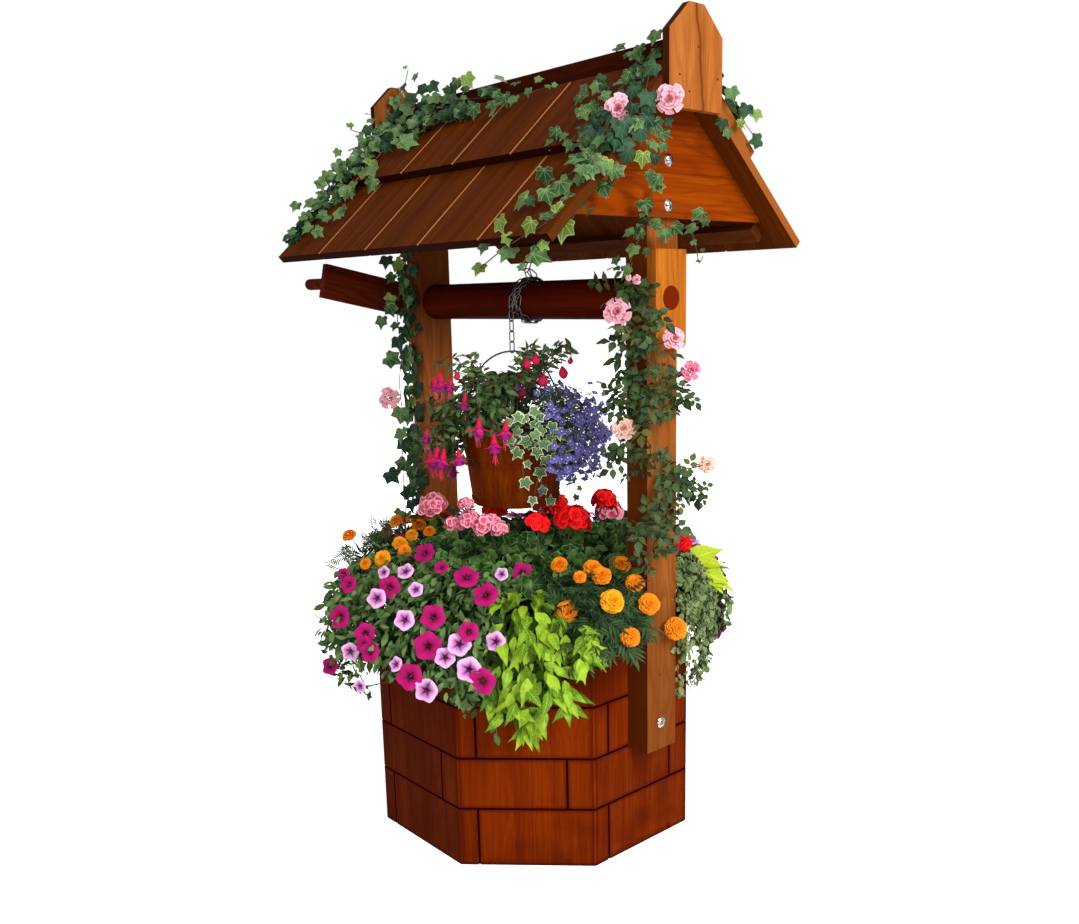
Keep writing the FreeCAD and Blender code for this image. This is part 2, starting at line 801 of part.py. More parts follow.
def mound(profile, sector):
    """Mass turned through a sector of the base, clear of the walls, the soil and the posts."""
    start, finish = sector
    rows = [(base_apothem + out, wall_height + above) for out, above in profile]
    rows = [(mound_inner_radius, soil_seat), (rows[0][0], soil_seat)] + rows
    rows.append((mound_inner_radius, rows[-1][1]))
    points = [Vector(radius, 0, z) for radius, z in rows]
    shape = to_side(turned(points, degrees=finish - start), start)
    shape = shape.cut(rim_keepout)
    for keepout in post_keepout:
        shape = shape.cut(keepout)
    return shape.Solids


# Each profile runs from under the overhang to the top, as distances out from the wall's face and above
# the rim
soil_seat = soil_top + seat_gap
trailing = [(-8, -88), (70, -120), (140, -88), (155, -8), (120, 97), (40, 152), (-110, 172)]
bushy = [(-8, -48), (80, -58), (135, -18), (140, 52), (100, 132), (20, 172), (-110, 182)]
vine = [(-8, -178), (40, -203), (90, -158), (120, -38), (110, 52), (30, 112), (-110, 146)]
creeping = [(-8, -158), (40, -173), (75, -108), (90, -8), (80, 112), (10, 172)]
rearward = [(-8, -78), (65, -103), (110, -58), (120, 12), (90, 102), (20, 152), (-110, 162)]
keep("petunias", *(mound(trailing, petunia_sector) + mound(rearward, rear_petunia_sector)))
keep("sweet_potato_vine", *mound(vine, vine_sector))
keep("marigolds", *(mound(bushy, marigold_sector) + mound(bushy, rear_marigold_sector)))
keep("small_leaf_creeper", *mound(creeping, creeper_sector))
dome = [(0, soil_seat), (dome_radius, soil_seat)]
for share, above in ((1.0, 202), (0.7, 237), (0.0, 250)):
    dome.append((share * dome_radius, wall_height + above))
keep("geraniums", turned([Vector(radius, 0, z) for radius, z in dome]))

# Ivy on the roof: along the crank verge, along the ridge, and down the front of the left slope
lower_rise = roof_board + plant_gap
upper_rise = 2 * roof_board + plant_gap
verge = roof_half_length - verge_ivy_margin


def ivy_patch(side, x0, x1, down0, down1, rise):
    """Mat of ivy lying on the boards."""
    return slope_block(side, x0, x1, down0, down1, rise, rise + ivy_depth)


lap_end = upper_slope_length - 4
lap_start = upper_slope_length + 10
eave = lower_slope_length
spray_x0 = roof_half_length + plant_gap
keep(
    "roof_ivy",
    ivy_patch(-1, -verge, -verge + 63, lap_start, eave - 30, lower_rise),
    ivy_patch(-1, -verge, -verge + 128, 60, lap_end, upper_rise),
    ivy_patch(-1, -verge + 128 + plant_gap, -20, 45, 110, upper_rise),
    ivy_patch(-1, verge - 139, verge, 45, lap_end, upper_rise),
    ivy_patch(-1, verge - 184, verge, lap_start, eave - 80, lower_rise),
    ivy_patch(-1, verge - 259, verge - 84, eave - 80 + plant_gap, eave + 20, lower_rise),
    ivy_patch(1, verge - 84, verge, 60, 180, upper_rise),
    box(spray_x0, spray_x0 + 40, -215, -80, ridge_z - 315, ridge_z - 85),
)

# Climbers on the posts
post_side = -(post_width / 2 + plant_gap)
climber_bottom = axle_z - climber_below_axle
climber_top = axle_z + climber_above_axle
ivy_x0, ivy_x1 = -(post_outer + 18), -(base_apothem - 10)
ivy_y0 = post_side - post_ivy_depth
keep("crank_post_ivy", box(ivy_x0, ivy_x1, ivy_y0, post_side, climber_bottom, climber_top))
rose_y0 = post_side - rose_depth
rose_x0, rose_x1 = base_apothem - 30, post_outer + 24
low_x0, low_x1 = post_outer + plant_gap, post_outer + low_rose_depth
low_z0, low_z1 = axle_z - low_rose_below_axle, bearing_low - low_rose_gap
keep(
    "climbing_rose",
    box(rose_x0, rose_x1, rose_y0, post_side, climber_bottom, climber_top),
    box(low_x0, low_x1, post_side + plant_gap, low_rose_side, low_z0, low_z1),
)

# Plants of the bucket, in its own axes: -X is the fuchsia's side, +X the lobelia's, -Y the front


def bail_slot(side):
    """Wedge that the bail sweeps through as the bucket tips in it."""
    x0, x1 = sorted((side * bail_slot_inner, side * bail_slot_outer))
    spread = bail_slot_reach * math.tan(math.radians(bail_slot_spread)) + bail_slot_half
    start = ear_pin_z - bail_slot_drop
    outline = [
        Vector(x0, -bail_slot_half, start),
        Vector(x0, bail_slot_half, start),
        Vector(x0, spread, ear_pin_z + bail_slot_reach),
        Vector(x0, -spread, ear_pin_z + bail_slot_reach),
    ]
    return prism(outline, Vector(x1 - x0, 0, 0))


def leafy(profile, sector):
    """Mass turned about the bucket's axis, clear of the staves, the hoops, the ears and the bail."""
    start, finish = sector
    points = [Vector(radius, 0, rim_z + above) for radius, above in profile]
    shape = to_side(turned(points, degrees=finish - start), start)
    shape = shape.cut(tapered(bucket_bottom - 5, rim_z + plant_gap, hoop_thickness + plant_gap))
    for side in (-1, 1):
        shape = shape.cut(bail_slot(side))
        ear_x = bucket_radius(rim_z)
        x0, x1 = sorted((side * (ear_x - ear_room_depth), side * (ear_x + ear_room_depth)))
        shape = shape.cut(box(x0, x1, -ear_room, ear_room, ear_low - 3, rim_z + ear_room_rise))
    return [place_bucket_part(s) for s in shape.Solids]


# Each profile is a radius and a height above the rim of the bucket
fuchsia_profile = [(0, 0), (105, 0), (130, -48), (190, -78), (215, -8), (190, 82), (66, 132), (0, 134)]
lobelia_profile = [(20, 0), (105, 0), (130, -78), (190, -98), (225, -28), (205, 72), (66, 122), (20, 124)]
ivy_profile = [(70, 0), (100, 0), (100, -143), (128, -148), (160, -88), (160, 12), (70, 32)]
keep("bucket_fuchsia", *leafy(fuchsia_profile, fuchsia_sector))
keep("bucket_lobelia", *leafy(lobelia_profile, lobelia_sector))
keep("bucket_ivy", *leafy(ivy_profile, bucket_ivy_sector))

for name, shape in built.items():
    state = "ok" if shape.isValid() else "INVALID"
    print(f"{name:22s} {len(shape.Solids):3d} {shape.Volume / 1e6:10.4f} l {state}")
print(len(built), "nodes")
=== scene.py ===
import math
import random
from functools import partial

import bmesh
import bpy
from mathutils import Matrix, Vector


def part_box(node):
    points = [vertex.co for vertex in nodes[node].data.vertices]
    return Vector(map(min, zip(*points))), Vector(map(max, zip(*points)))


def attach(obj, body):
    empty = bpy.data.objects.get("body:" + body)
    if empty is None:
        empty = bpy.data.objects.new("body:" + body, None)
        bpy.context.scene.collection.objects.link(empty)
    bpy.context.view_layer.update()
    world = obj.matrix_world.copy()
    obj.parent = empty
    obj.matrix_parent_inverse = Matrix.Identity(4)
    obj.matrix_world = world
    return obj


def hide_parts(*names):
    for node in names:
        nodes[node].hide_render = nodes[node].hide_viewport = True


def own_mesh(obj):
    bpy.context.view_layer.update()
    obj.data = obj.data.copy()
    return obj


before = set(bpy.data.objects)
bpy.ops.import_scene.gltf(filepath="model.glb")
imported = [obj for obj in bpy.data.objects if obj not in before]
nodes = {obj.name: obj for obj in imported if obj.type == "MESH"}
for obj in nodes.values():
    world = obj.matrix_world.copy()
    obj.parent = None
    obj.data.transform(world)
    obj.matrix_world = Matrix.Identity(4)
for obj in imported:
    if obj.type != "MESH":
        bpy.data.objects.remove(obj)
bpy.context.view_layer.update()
scene = bpy.context.scene
scene.view_settings.view_transform = "Standard"
rng = random.Random(41)

# Sizes of the wood frame that the planting is laid on, in metres
wall_face = 0.36
wall_rim = 0.488
course_low = 0.134
course_pitch = 0.118
first_joint = -0.1074
second_joint = 0.0895
face_half = 0.1491
roof_pitch = math.radians(42.2)
roof_apex = 1.645
roof_half = 0.486
roof_reach = 0.4804
lap_reach = 0.2403
board = 0.018
post_face = 0.418
block_face = 0.442
bucket_axis = Vector((0.0015, -0.051, 0.0))
bucket_rim = 0.928
bail_pin = 0.941
stave_count = 16
axle = Vector((0.0, 0.0, 1.222))
up = Vector((0, 0, 1))
forward = Vector((1, 0, 0))
leftward = Vector((0, -1, 0))
quarter = math.pi / 2
golden_angle = 137.508
golden_share = 0.618034
mm = 0.001
# Stem thicknesses, in metres
stem_sizes = {
    "petunia": 0.0013, "marigold": 0.0014, "geranium": 0.0018, "creeper": 0.0009, "roof ivy": 0.0011,
    "post ivy": 0.0014, "rose": 0.0015, "fuchsia": 0.0009, "lobelia": 0.0007, "bucket ivy": 0.0006,
}

# Camera at the photograph's viewing angle
picture_width, picture_height = 1079, 924
sensor_width = 36
camera_place = Vector((1.8686, -1.5995, 1.2291))
heading, tilt, lean = math.radians(45) + 0.0619, -0.204, -0.0207
focal = 1043.19
middle = (548.39, 512.63)
ahead = Vector((-math.sin(heading) * math.cos(tilt), math.cos(heading) * math.cos(tilt), math.sin(tilt)))
level = Vector((math.cos(heading), math.sin(heading), 0))
overhead = level.cross(ahead)
sideways = level * math.cos(lean) + overhead * math.sin(lean)
overhead = overhead * math.cos(lean) - level * math.sin(lean)
camera_data = bpy.data.cameras.new("camera")
camera_data.sensor_width = sensor_width
camera_data.lens = focal / picture_width * sensor_width
camera_data.shift_x = (picture_width / 2 - middle[0]) / picture_width
camera_data.shift_y = (middle[1] - picture_height / 2) / picture_width
camera = bpy.data.objects.new("camera", camera_data)
scene.collection.objects.link(camera)
turn = Matrix((sideways, overhead, -ahead)).transposed()
camera.matrix_world = Matrix.Translation(camera_place) @ turn.to_4x4()
scene.camera = camera


def sight(px, py):
    """Direction from the camera through a point of the picture."""
    ray = ahead + sideways * ((px - middle[0]) / focal) - overhead * ((py - middle[1]) / focal)
    return ray.normalized()


def seen_on(px, py, point, normal):
    """Where that direction meets a plane."""
    ray = sight(px, py)
    return camera_place + ray * ((point - camera_place).dot(normal) / ray.dot(normal))


def towards_camera(place):
    """Direction from a place to the camera."""
    return (camera_place - place).normalized()


def seen_beside(px, py, anchor):
    """Where that direction meets the plane through an anchor that faces the camera."""
    return seen_on(px, py, anchor, towards_camera(anchor))


def shake(amount):
    """Small random vector."""
    return Vector((rng.gauss(0, amount), rng.gauss(0, amount), rng.gauss(0, amount)))


def radial_way(degrees):
    """Level direction at an angle about the upright axis."""
    return Vector((math.cos(math.radians(degrees)), math.sin(math.radians(degrees)), 0))


# Materials by name, and node helpers
finishes = {}


def new_material(name):
    """New material: its node tree and shader."""
    material = bpy.data.materials.new(name)
    material.use_nodes = True
    finishes[name] = material
    tree = material.node_tree
    return tree, tree.nodes["Principled BSDF"]


def add(tree, kind, **settings):
    """New node with its properties and input values set."""
    node = tree.nodes.new(kind)
    for key, value in settings.items():
        if key.startswith("in_"):
            name = key[3:]
            node.inputs[int(name) if name.isdigit() else name].default_value = value
        else:
            setattr(node, key, value)
    return node


def link(value, node, name):
    """Feeds a socket into an input of a node."""
    value.id_data.links.new(value, node.inputs[name])


def feed(value, node, name):
    """Sets an input of a node to a socket, a number or a plain colour."""
    if isinstance(value, bpy.types.NodeSocket):
        link(value, node, name)
    else:
        node.inputs[name].default_value = value if isinstance(value, (int, float)) else (*value, 1)


def maths(operation, *values):
    """Math node fed by sockets or numbers, at least one of them a socket."""
    tree = next(value for value in values if isinstance(value, bpy.types.NodeSocket)).id_data
    node = add(tree, "ShaderNodeMath", operation=operation)
    for index, value in enumerate(values):
        feed(value, node, index)
    return node.outputs[0]


plus, minus, times = (partial(maths, kind) for kind in ("ADD", "SUBTRACT", "MULTIPLY"))
scaled = partial(maths, "MULTIPLY_ADD")
size_of = partial(maths, "ABSOLUTE")


def blend_colours(factor, first, second):
    """Mix of two colours, each a socket or a plain colour."""
    node = add(factor.id_data, "ShaderNodeMix", data_type="RGBA")
    for index, value in ((0, factor), (6, first), (7, second)):
        feed(value, node, index)
    return node.outputs[2]


def steps(value, low, high, start=0.0, finish=1.0):
    """Value stretched smoothly from one range to another and held within it."""
    node = add(value.id_data, "ShaderNodeMapRange", interpolation_type="SMOOTHSTEP")
    for index, item in enumerate((value, low, high, start, finish)):
        feed(item, node, index)
    return node.outputs[0]


def apart(vector):
    """The three parts of a vector."""
    node = add(vector.id_data, "ShaderNodeSeparateXYZ")
    link(vector, node, 0)
    return node.outputs


def along(vector, way):
    """Dot product of a vector socket with a fixed direction."""
    node = add(vector.id_data, "ShaderNodeVectorMath", operation="DOT_PRODUCT", in_1=tuple(way))
    link(vector, node, 0)
    return node.outputs["Value"]


def noise(vector, scale, detail, rough=0.5):
    """Noise over a vector socket."""
    node = add(vector.id_data, "ShaderNodeTexNoise", in_Scale=scale, in_Detail=detail, in_Roughness=rough)
    link(vector, node, "Vector")
    return node.outputs[0]


def cells(vector, scale):
    """Outputs of a texture of scattered cells."""
    node = add(vector.id_data, "ShaderNodeTexVoronoi", in_Scale=scale, in_Randomness=1.0)
    link(vector, node, "Vector")
    return node.outputs


def bumped(shader, height, strength, distance):
    """Gives a shader relief from a height."""
    bump = add(height.id_data, "ShaderNodeBump", in_Strength=strength, in_Distance=distance)
    link(height, bump, "Height")
    link(bump.outputs[0], shader, "Normal")


def surface(shader, colour, rough, shine=0.5):
    """Sets a shader's colour, roughness and sheen."""
    for name, value in (("Base Color", colour), ("Roughness", rough), ("Specular IOR Level", shine)):
        feed(value, shader, name)


def own_place(tree):
    """Place on the piece itself, for textures."""
    return tree.nodes.new("ShaderNodeTexCoord").outputs["Object"]


def new_group(name, inputs, outputs):
    """Empty node group with its inputs, given as names and kinds, and its number outputs."""
    tree = bpy.data.node_groups.new(name, "ShaderNodeTree")
    for socket, kind in inputs:
        tree.interface.new_socket(socket, in_out="INPUT", socket_type=kind)
    for socket in outputs:
        tree.interface.new_socket(socket, in_out="OUTPUT", socket_type="NodeSocketFloat")
    return tree, tree.nodes.new("NodeGroupInput"), tree.nodes.new("NodeGroupOutput")


# Wood
def grain_group():
    """Wood grain along the local X axis: fine fibres, broad streaks, wavering rings and scattered knots."""
    inputs = (("Vector", "NodeSocketVector"), ("Ring Scale", "NodeSocketFloat"))
    tree, start, end = new_group("wood grain", inputs, ("Fibre", "Streak", "Ring", "Knot"))

    def drawn_out(length, width):
        flat = add(tree, "ShaderNodeVectorMath", operation="MULTIPLY", in_1=(length, width, width))
        link(start.outputs["Vector"], flat, 0)
        return flat.outputs[0]

    def stretched(length, width, detail):
        return noise(drawn_out(length, width), 1.0, detail, 0.6)

    link(stretched(5.0, 330.0, 4.0), end, "Fibre")
    link(stretched(1.3, 26.0, 3.0), end, "Streak")
    warp = stretched(2.2, 9.0, 2.0)
    parts = apart(start.outputs["Vector"])
    across = plus(parts[1], times(parts[2], 0.7))
    spread = times(across, start.outputs["Ring Scale"])
    bent = plus(spread, times(warp, 9.0))
    wave = maths("SINE", times(bent, 2 * math.pi))
    link(scaled(wave, 0.5, 0.5), end, "Ring")
    link(cells(drawn_out(2.6, 8.0), 1.0)["Distance"], end, "Knot")
    return tree


grain = grain_group()
along_x = (0, 0, 0)
along_y = (0, 0, quarter)
along_z = (0, quarter, 0)


class Timber:
    """Stained and varnished wood, its colour built up in layers."""

    def __init__(self, name, pale, deep, dark, turned=along_x, ring_scale=42.0, rings=0.25, knots=0.0):
        self.tree, self.shader = new_material(name)
        tree = self.tree
        self.coordinates = tree.nodes.new("ShaderNodeTexCoord").outputs
        self.place = self.coordinates["Object"]
        self.lie = tree.nodes.new("ShaderNodeNewGeometry")
        turning = add(tree, "ShaderNodeMapping", vector_type="TEXTURE")
        turning.inputs["Rotation"].default_value = turned
        link(self.place, turning, "Vector")
        group = add(tree, "ShaderNodeGroup", node_tree=grain)
        group.inputs["Ring Scale"].default_value = ring_scale
        link(turning.outputs[0], group, "Vector")
        self.colour = blend_colours(steps(group.outputs["Streak"], 0.3, 0.7), deep, pale)
        ring = times(maths("POWER", group.outputs["Ring"], 3.0), rings)
        self.paint(ring, dark)
        self.paint(steps(group.outputs["Fibre"], 0.42, 0.68, 0.0, 0.34), dark)
        if knots:
            self.paint(steps(group.outputs["Knot"], 0.04, 0.1, knots, 0.0), [c * 0.3 for c in dark])
        self.gloss = steps(group.outputs["Fibre"], 0.3, 0.7, 0.42, 0.58)
        bumped(self.shader, group.outputs["Fibre"], 0.25, 0.0006)

    def paint(self, factor, tone):
        """Lays a tone over the colour so far, where the factor says."""
        self.colour = blend_colours(factor, self.colour, tone)

    def tint(self, factor):
        """Makes the colour lighter or darker by a factor."""
        scale = add(self.tree, "ShaderNodeVectorMath", operation="SCALE")
        link(self.colour, scale, 0)
        link(factor, scale, "Scale")
        self.colour = scale.outputs[0]

    def where(self):
        """Parts of the place on the piece."""
        return apart(self.place)

    def facing(self, way, low=0.75, high=0.92):
        """One where the surface faces a direction."""
        return steps(along(self.lie.outputs["Normal"], way), low, high)

    def done(self):
        """Finishes the surface, nearly without sheen."""
        surface(self.shader, self.colour, self.gloss, 0.01)


def lies_along(way, out):
    """Rotation that lays the local X axis along a direction."""
    x = Vector(way).normalized()
    z = Vector(out).normalized()
    return Matrix((x, z.cross(x), z)).transposed().to_euler()


def block_wall(name, depth):
    """Base panels: boards with upright grain, routed to look like blocks and stained; a depth below one
    darkens them all as painted shade.
    """
    tones = ((0.19, 0.023, 0.0006), (0.12, 0.012, 0.0004), (0.048, 0.0036, 0.0003))
    wood = Timber(name, *tones, along_z, 60.0, 0.2)
    tree = wood.tree
    x, y, z = wood.where()
    normal = apart(wood.coordinates["Normal"])
    sidelong = minus(times(y, normal[0]), times(x, normal[1]))
    height = minus(z, course_low - course_pitch)
    course = maths("FLOOR", maths("DIVIDE", height, course_pitch))
    every_other = maths("FLOORED_MODULO", course, 2.0)
    joint = scaled(every_other, second_joint - first_joint, first_joint)
    from_joint = minus(sidelong, joint)
    block = tree.nodes.new("ShaderNodeCombineXYZ")
    side = scaled(normal[0], 3.0, times(normal[1], 7.0))
    beyond = maths("GREATER_THAN", from_joint, 0.0)
    link(scaled(beyond, 5.0, course), block, 0)
    link(maths("ROUND", side), block, 1)
    chance = tree.nodes.new("ShaderNodeTexWhiteNoise")
    link(block.outputs[0], chance, "Vector")
    # Random tone for each block, scaled by depth; the lower depth is painted shade
    wood.tint(scaled(chance.outputs["Value"], 0.3 * depth, 0.86 * depth))
    # Painted shade: darker red along the course grooves and the block joints
    painted_groove_shade = (0.085, 0.006, 0.001)
    level_gap = maths("PINGPONG", minus(z, course_low), course_pitch / 2)
    near_level = steps(level_gap, 0.003, 0.012, 0.75, 0.0)
    wood.paint(times(near_level, steps(z, 0.06, 0.09)), painted_groove_shade)
    wood.paint(steps(size_of(from_joint), 0.003, 0.011, 0.75, 0.0), painted_groove_shade)
    edge = size_of(sidelong)
    wood.paint(steps(edge, face_half - 0.016, face_half - 0.002, 0.0, 0.85), (0.07, 0.0042, 0.0009))
    board_line = size_of(minus(sidelong, 0.012))
    wood.paint(steps(board_line, 0.0004, 0.0022, 0.45, 0.0), (0.04, 0.0035, 0.0008))
    wood.paint(steps(z, 0.0, 0.012, 0.85, 0.0), (0.03, 0.003, 0.001))
    # Darker towards the rim: painted shadow of the planting above
    wood.paint(steps(z, 0.37, 0.47, 0.0, 0.65), (0.045, 0.004, 0.0006))
    wood.paint(steps(noise(wood.place, 9.0, 4.0), 0.48, 0.72, 0.0, 0.5), (0.06, 0.0055, 0.0006))
    specks = cells(wood.place, 45.0)
    few = maths("GREATER_THAN", apart(specks["Color"])[0], 0.9)
    dot = steps(specks["Distance"], 0.035, 0.06, 0.6, 0.0)
    wood.paint(times(dot, few), (0.55, 0.22, 0.06))
    # Painted shade: the floor of each routed groove, inside the wall face, painted near black
    out_x, out_y = size_of(x), size_of(y)
    slanted = times(plus(out_x, out_y), math.sqrt(0.5))
    reach = maths("MAXIMUM", maths("MAXIMUM", out_x, out_y), slanted)
    wood.paint(steps(reach, wall_face - 0.0016, wall_face - 0.0004, 1.0, 0.0), (0.012, 0.0012, 0.0008))
    wood.done()


def post_timber(name, pale, deep, dark, foot=0.6, top=0.0, side=0.0):
    """Post: upright grain, darkened towards its foot, with painted shade towards its top, on its left side
    and underneath.
    """
    wood = Timber(name, pale, deep, dark, along_z, 42.0, 0.3, 0.7)
    wood.paint(steps(wood.where()[2], 0.25, 1.05, foot, 0.0), dark)
    # Painted shade towards the top, where the roof shades the post
    wood.paint(steps(wood.where()[2], 0.95, 1.25, 0.0, top), [c * 0.4 for c in dark])
    # Painted shade on the left side, which faces away from the key light
    left = steps(along(wood.lie.outputs["Normal"], (0, -1, 0)), 0.6, 0.9, 0.0, side)
    wood.paint(left, (0.075, 0.0115, 0.001))
    # Painted shade on the faces that look down
    wood.paint(wood.facing((0, 0, -1)), [c * 0.5 for c in dark])
    wood.done()


def finial_timber(name, pale, deep, dark, shake_depth):
    """Finial board with a dark wandering shake down its middle."""
    wood = Timber(name, pale, deep, dark, along_z, 34.0, 0.22)
    tree = wood.tree
    _, y, z = wood.where()
    upright = tree.nodes.new("ShaderNodeCombineXYZ")
    link(z, upright, 2)
    wander = scaled(noise(upright.outputs[0], 14.0, 2.0), 0.03, -0.015)
    line = plus(scaled(z, -0.106, 0.1868), wander)
    off = size_of(minus(y, line))
    wood.paint(steps(off, 0.0006, 0.005, shake_depth, 0.0), dark)
    wood.paint(steps(off, 0.004, 0.02, shake_depth * 0.35, 0.0), dark)
    # Painted shade on both narrow sides of the board
    for way in ((0, -1, 0), (0, 1, 0)):
        wood.paint(wood.facing(way, 0.3, 0.7), [c * 0.45 for c in dark])
    wood.done()


def roof_timber(name, side):
    """Roof boards: grain down the slope, a painted highlight on the vee sides that face the key light and
    painted shade on those that face away, ends and laps dark.
    """
    down = Vector((0, side * math.cos(roof_pitch), -math.sin(roof_pitch)))
    out = Vector((0, side * math.sin(roof_pitch), math.cos(roof_pitch)))
    tones = ((0.125, 0.026, 0.0012), (0.075, 0.0135, 0.0007), (0.03, 0.004, 0.0004))
    wood = Timber(name, *tones, lies_along(down, out), 55.0, 0.22)
    _, y, z = wood.where()
    raised = times(minus(z, roof_apex), math.cos(roof_pitch))
    spread = times(y, side * math.sin(roof_pitch))
    rise = minus(plus(raised, spread), 0.0002)
    in_vee = steps(maths("FLOORED_MODULO", rise, board), board - 0.0034, board - 0.0026)
    normal = apart(wood.lie.outputs["Normal"])
    lit = steps(normal[0], 0.2, 0.5)
    shaded = steps(normal[0], -0.5, -0.2, 1.0, 0.0)
    # Painted highlight and painted shade on the two sides of each vee
    wood.paint(times(in_vee, lit), (0.34, 0.125, 0.032))
    wood.paint(times(in_vee, shaded), (0.03, 0.005, 0.0015))
    wood.paint(wood.facing(down), (0.02, 0.003, 0.001))
    end_tone = (0.25, 0.072, 0.012) if side > 0 else (0.07, 0.018, 0.003)
    wood.paint(wood.facing((1, 0, 0), 0.9, 0.97), end_tone)
    wood.paint(wood.facing((-1, 0, 0), 0.9, 0.97), (0.1, 0.024, 0.004))
    wood.done()


def plain_timber(name, pale, deep, dark, turned=along_x, rings=0.3, knots=0.0):
    """Wood with nothing but its grain."""
    Timber(name, pale, deep, dark, turned, 40.0, rings, knots).done()


def bucket_timber():
    """Bucket staves: upright grain, each stave of its own tone."""
    tones = ((0.245, 0.044, 0.0016), (0.145, 0.019, 0.0008), (0.05, 0.0048, 0.0004))
    wood = Timber("bucket stave", *tones, along_z, 55.0, 0.3)
    tree = wood.tree
    x, y, _ = wood.where()
    off_y = minus(y, bucket_axis.y)
    angle = maths("ARCTAN2", off_y, minus(x, bucket_axis.x))
    chance = add(tree, "ShaderNodeTexWhiteNoise", noise_dimensions="1D")
    share = scaled(angle, stave_count / (2 * math.pi), 0.5)
    link(maths("FLOOR", share), chance, "W")
    wood.tint(scaled(chance.outputs["Value"], 0.4, 0.8))
    wood.done()


block_wall("stained block wall", 1.0)
# Darker copy of the wall: painted shade for the panels that face away from the key light
block_wall("shaded block wall", 0.68)
near_tones = ((0.36, 0.118, 0.024), (0.25, 0.066, 0.01), (0.095, 0.017, 0.0018))
# side sets the painted shade on the near post's left side
post_timber("orange post", *near_tones, side=0.88)
brown_tones = ((0.6, 0.19, 0.045), (0.46, 0.125, 0.024), (0.16, 0.032, 0.005))
# top sets the painted shade that the roof casts on the far post's upper part
post_timber("brown post", *brown_tones, foot=0.0, top=0.88)
peach = ((0.4, 0.13, 0.028), (0.3, 0.084, 0.015), (0.11, 0.024, 0.003))
finial_timber("light finial", *peach, 0.85)
brown = ((0.26, 0.085, 0.02), (0.18, 0.05, 0.011), (0.075, 0.016, 0.003))
finial_timber("far finial", *brown, 0.5)
roof_timber("left roof board", -1)
roof_timber("right roof board", 1)
bucket_timber()
# The roller is dark all round, its sawn end redder
wood = Timber("dark roller", (0.085, 0.0065, 0.0005), (0.045, 0.0028, 0.0003), (0.014, 0.0008, 0.0002))
wood.paint(wood.facing((1, 0, 0)), (0.115, 0.012, 0.001))
wood.done()
along_arm = lies_along((0, -0.978, 0.208), forward)
# Plain woods: pale, deep and dark tones, the way of the grain, the strength of the rings and the knots
plain_looks = {
    "golden bearing block": ((0.43, 0.13, 0.012), (0.33, 0.085, 0.007), (0.15, 0.031, 0.003), along_z,
                             0.3, 0.5),
    "orange gable": ((0.27, 0.046, 0.001), (0.185, 0.025, 0.0006), (0.076, 0.0075, 0.0004), along_y,
                     0.32, 0.8),
    "dark crank": ((0.125, 0.016, 0.0042), (0.07, 0.0075, 0.0022), (0.02, 0.002, 0.0008), along_arm, 0.4),
    "dark ridge": ((0.055, 0.008, 0.001), (0.03, 0.004, 0.0006), (0.011, 0.0013, 0.0003)),
    "brown purlin": ((0.12, 0.03, 0.0045), (0.08, 0.017, 0.003), (0.03, 0.005, 0.001)),
    "plain pine": ((0.36, 0.2, 0.085), (0.25, 0.125, 0.048), (0.12, 0.055, 0.02)),
    "hoop": ((0.185, 0.03, 0.0016), (0.11, 0.014, 0.0008), (0.04, 0.004, 0.0005), along_z),
}
for name, look in plain_looks.items():
    plain_timber(name, *look)


# Metal, soil and plastic
def metal(name, tone, rough, scratch=0.1, patch_scale=60.0, patch_tone=0.72):
    """Metal with fine wear in its gloss and patches of a darker tone: wear on most metals, and on the
    polished bolts a painted reflection of dark surroundings.
    """
    tree, shader = new_material(name)
    shader.inputs["Metallic"].default_value = 1.0
    place = own_place(tree)
    gloss = steps(noise(place, 420.0, 5.0), 0.3, 0.7, rough, rough + scratch)
    wear_and_reflection_patches = steps(noise(place, patch_scale, 3.0), 0.4, 0.62)
    surface(shader, blend_colours(wear_and_reflection_patches, tone, [c * patch_tone for c in tone]), gloss)


# The bolts' strong dark patches are a painted reflection
metal("polished zinc bolt", (0.84, 0.84, 0.86), 0.1, 0.1, 130.0, 0.22)
metal("dark nail", (0.06, 0.045, 0.04), 0.45)
metal("dark steel chain", (0.16, 0.15, 0.15), 0.3)
metal("blackened wire", (0.09, 0.09, 0.09), 0.35)


def soft_tone(name, tones, rough=0.6, relief=0.3, distance=0.0008):
    """Plain living or earthy surface whose tone wanders between three colours."""
    tree, shader = new_material(name)
    place = own_place(tree)
    speckle = noise(place, 330.0, 3.0)
    colour = blend_colours(steps(noise(place, 30.0, 3.0), 0.36, 0.64), tones[0], tones[1])
    colour = blend_colours(steps(speckle, 0.52, 0.7, 0.0, 0.7), colour, tones[2])
    surface(shader, colour, rough, 0.2)
    bumped(shader, speckle, relief, distance)


soft_looks = {
    "potting soil": (((0.03, 0.017, 0.01), (0.012, 0.007, 0.004), (0.075, 0.046, 0.028)), 0.95, 1.0, 0.004),
    "black liner": (((0.02, 0.02, 0.02), (0.012, 0.012, 0.012), (0.03, 0.03, 0.03)), 0.5),
    "green stem": (((0.06, 0.095, 0.022), (0.08, 0.12, 0.035), (0.04, 0.05, 0.02)),),
    "woody stem": (((0.09, 0.06, 0.03), (0.06, 0.04, 0.022), (0.03, 0.02, 0.012)), 0.8),
    "red stem": (((0.17, 0.03, 0.02), (0.12, 0.035, 0.018), (0.07, 0.02, 0.012)),),
}
for name, look in soft_looks.items():
    soft_tone(name, *look)


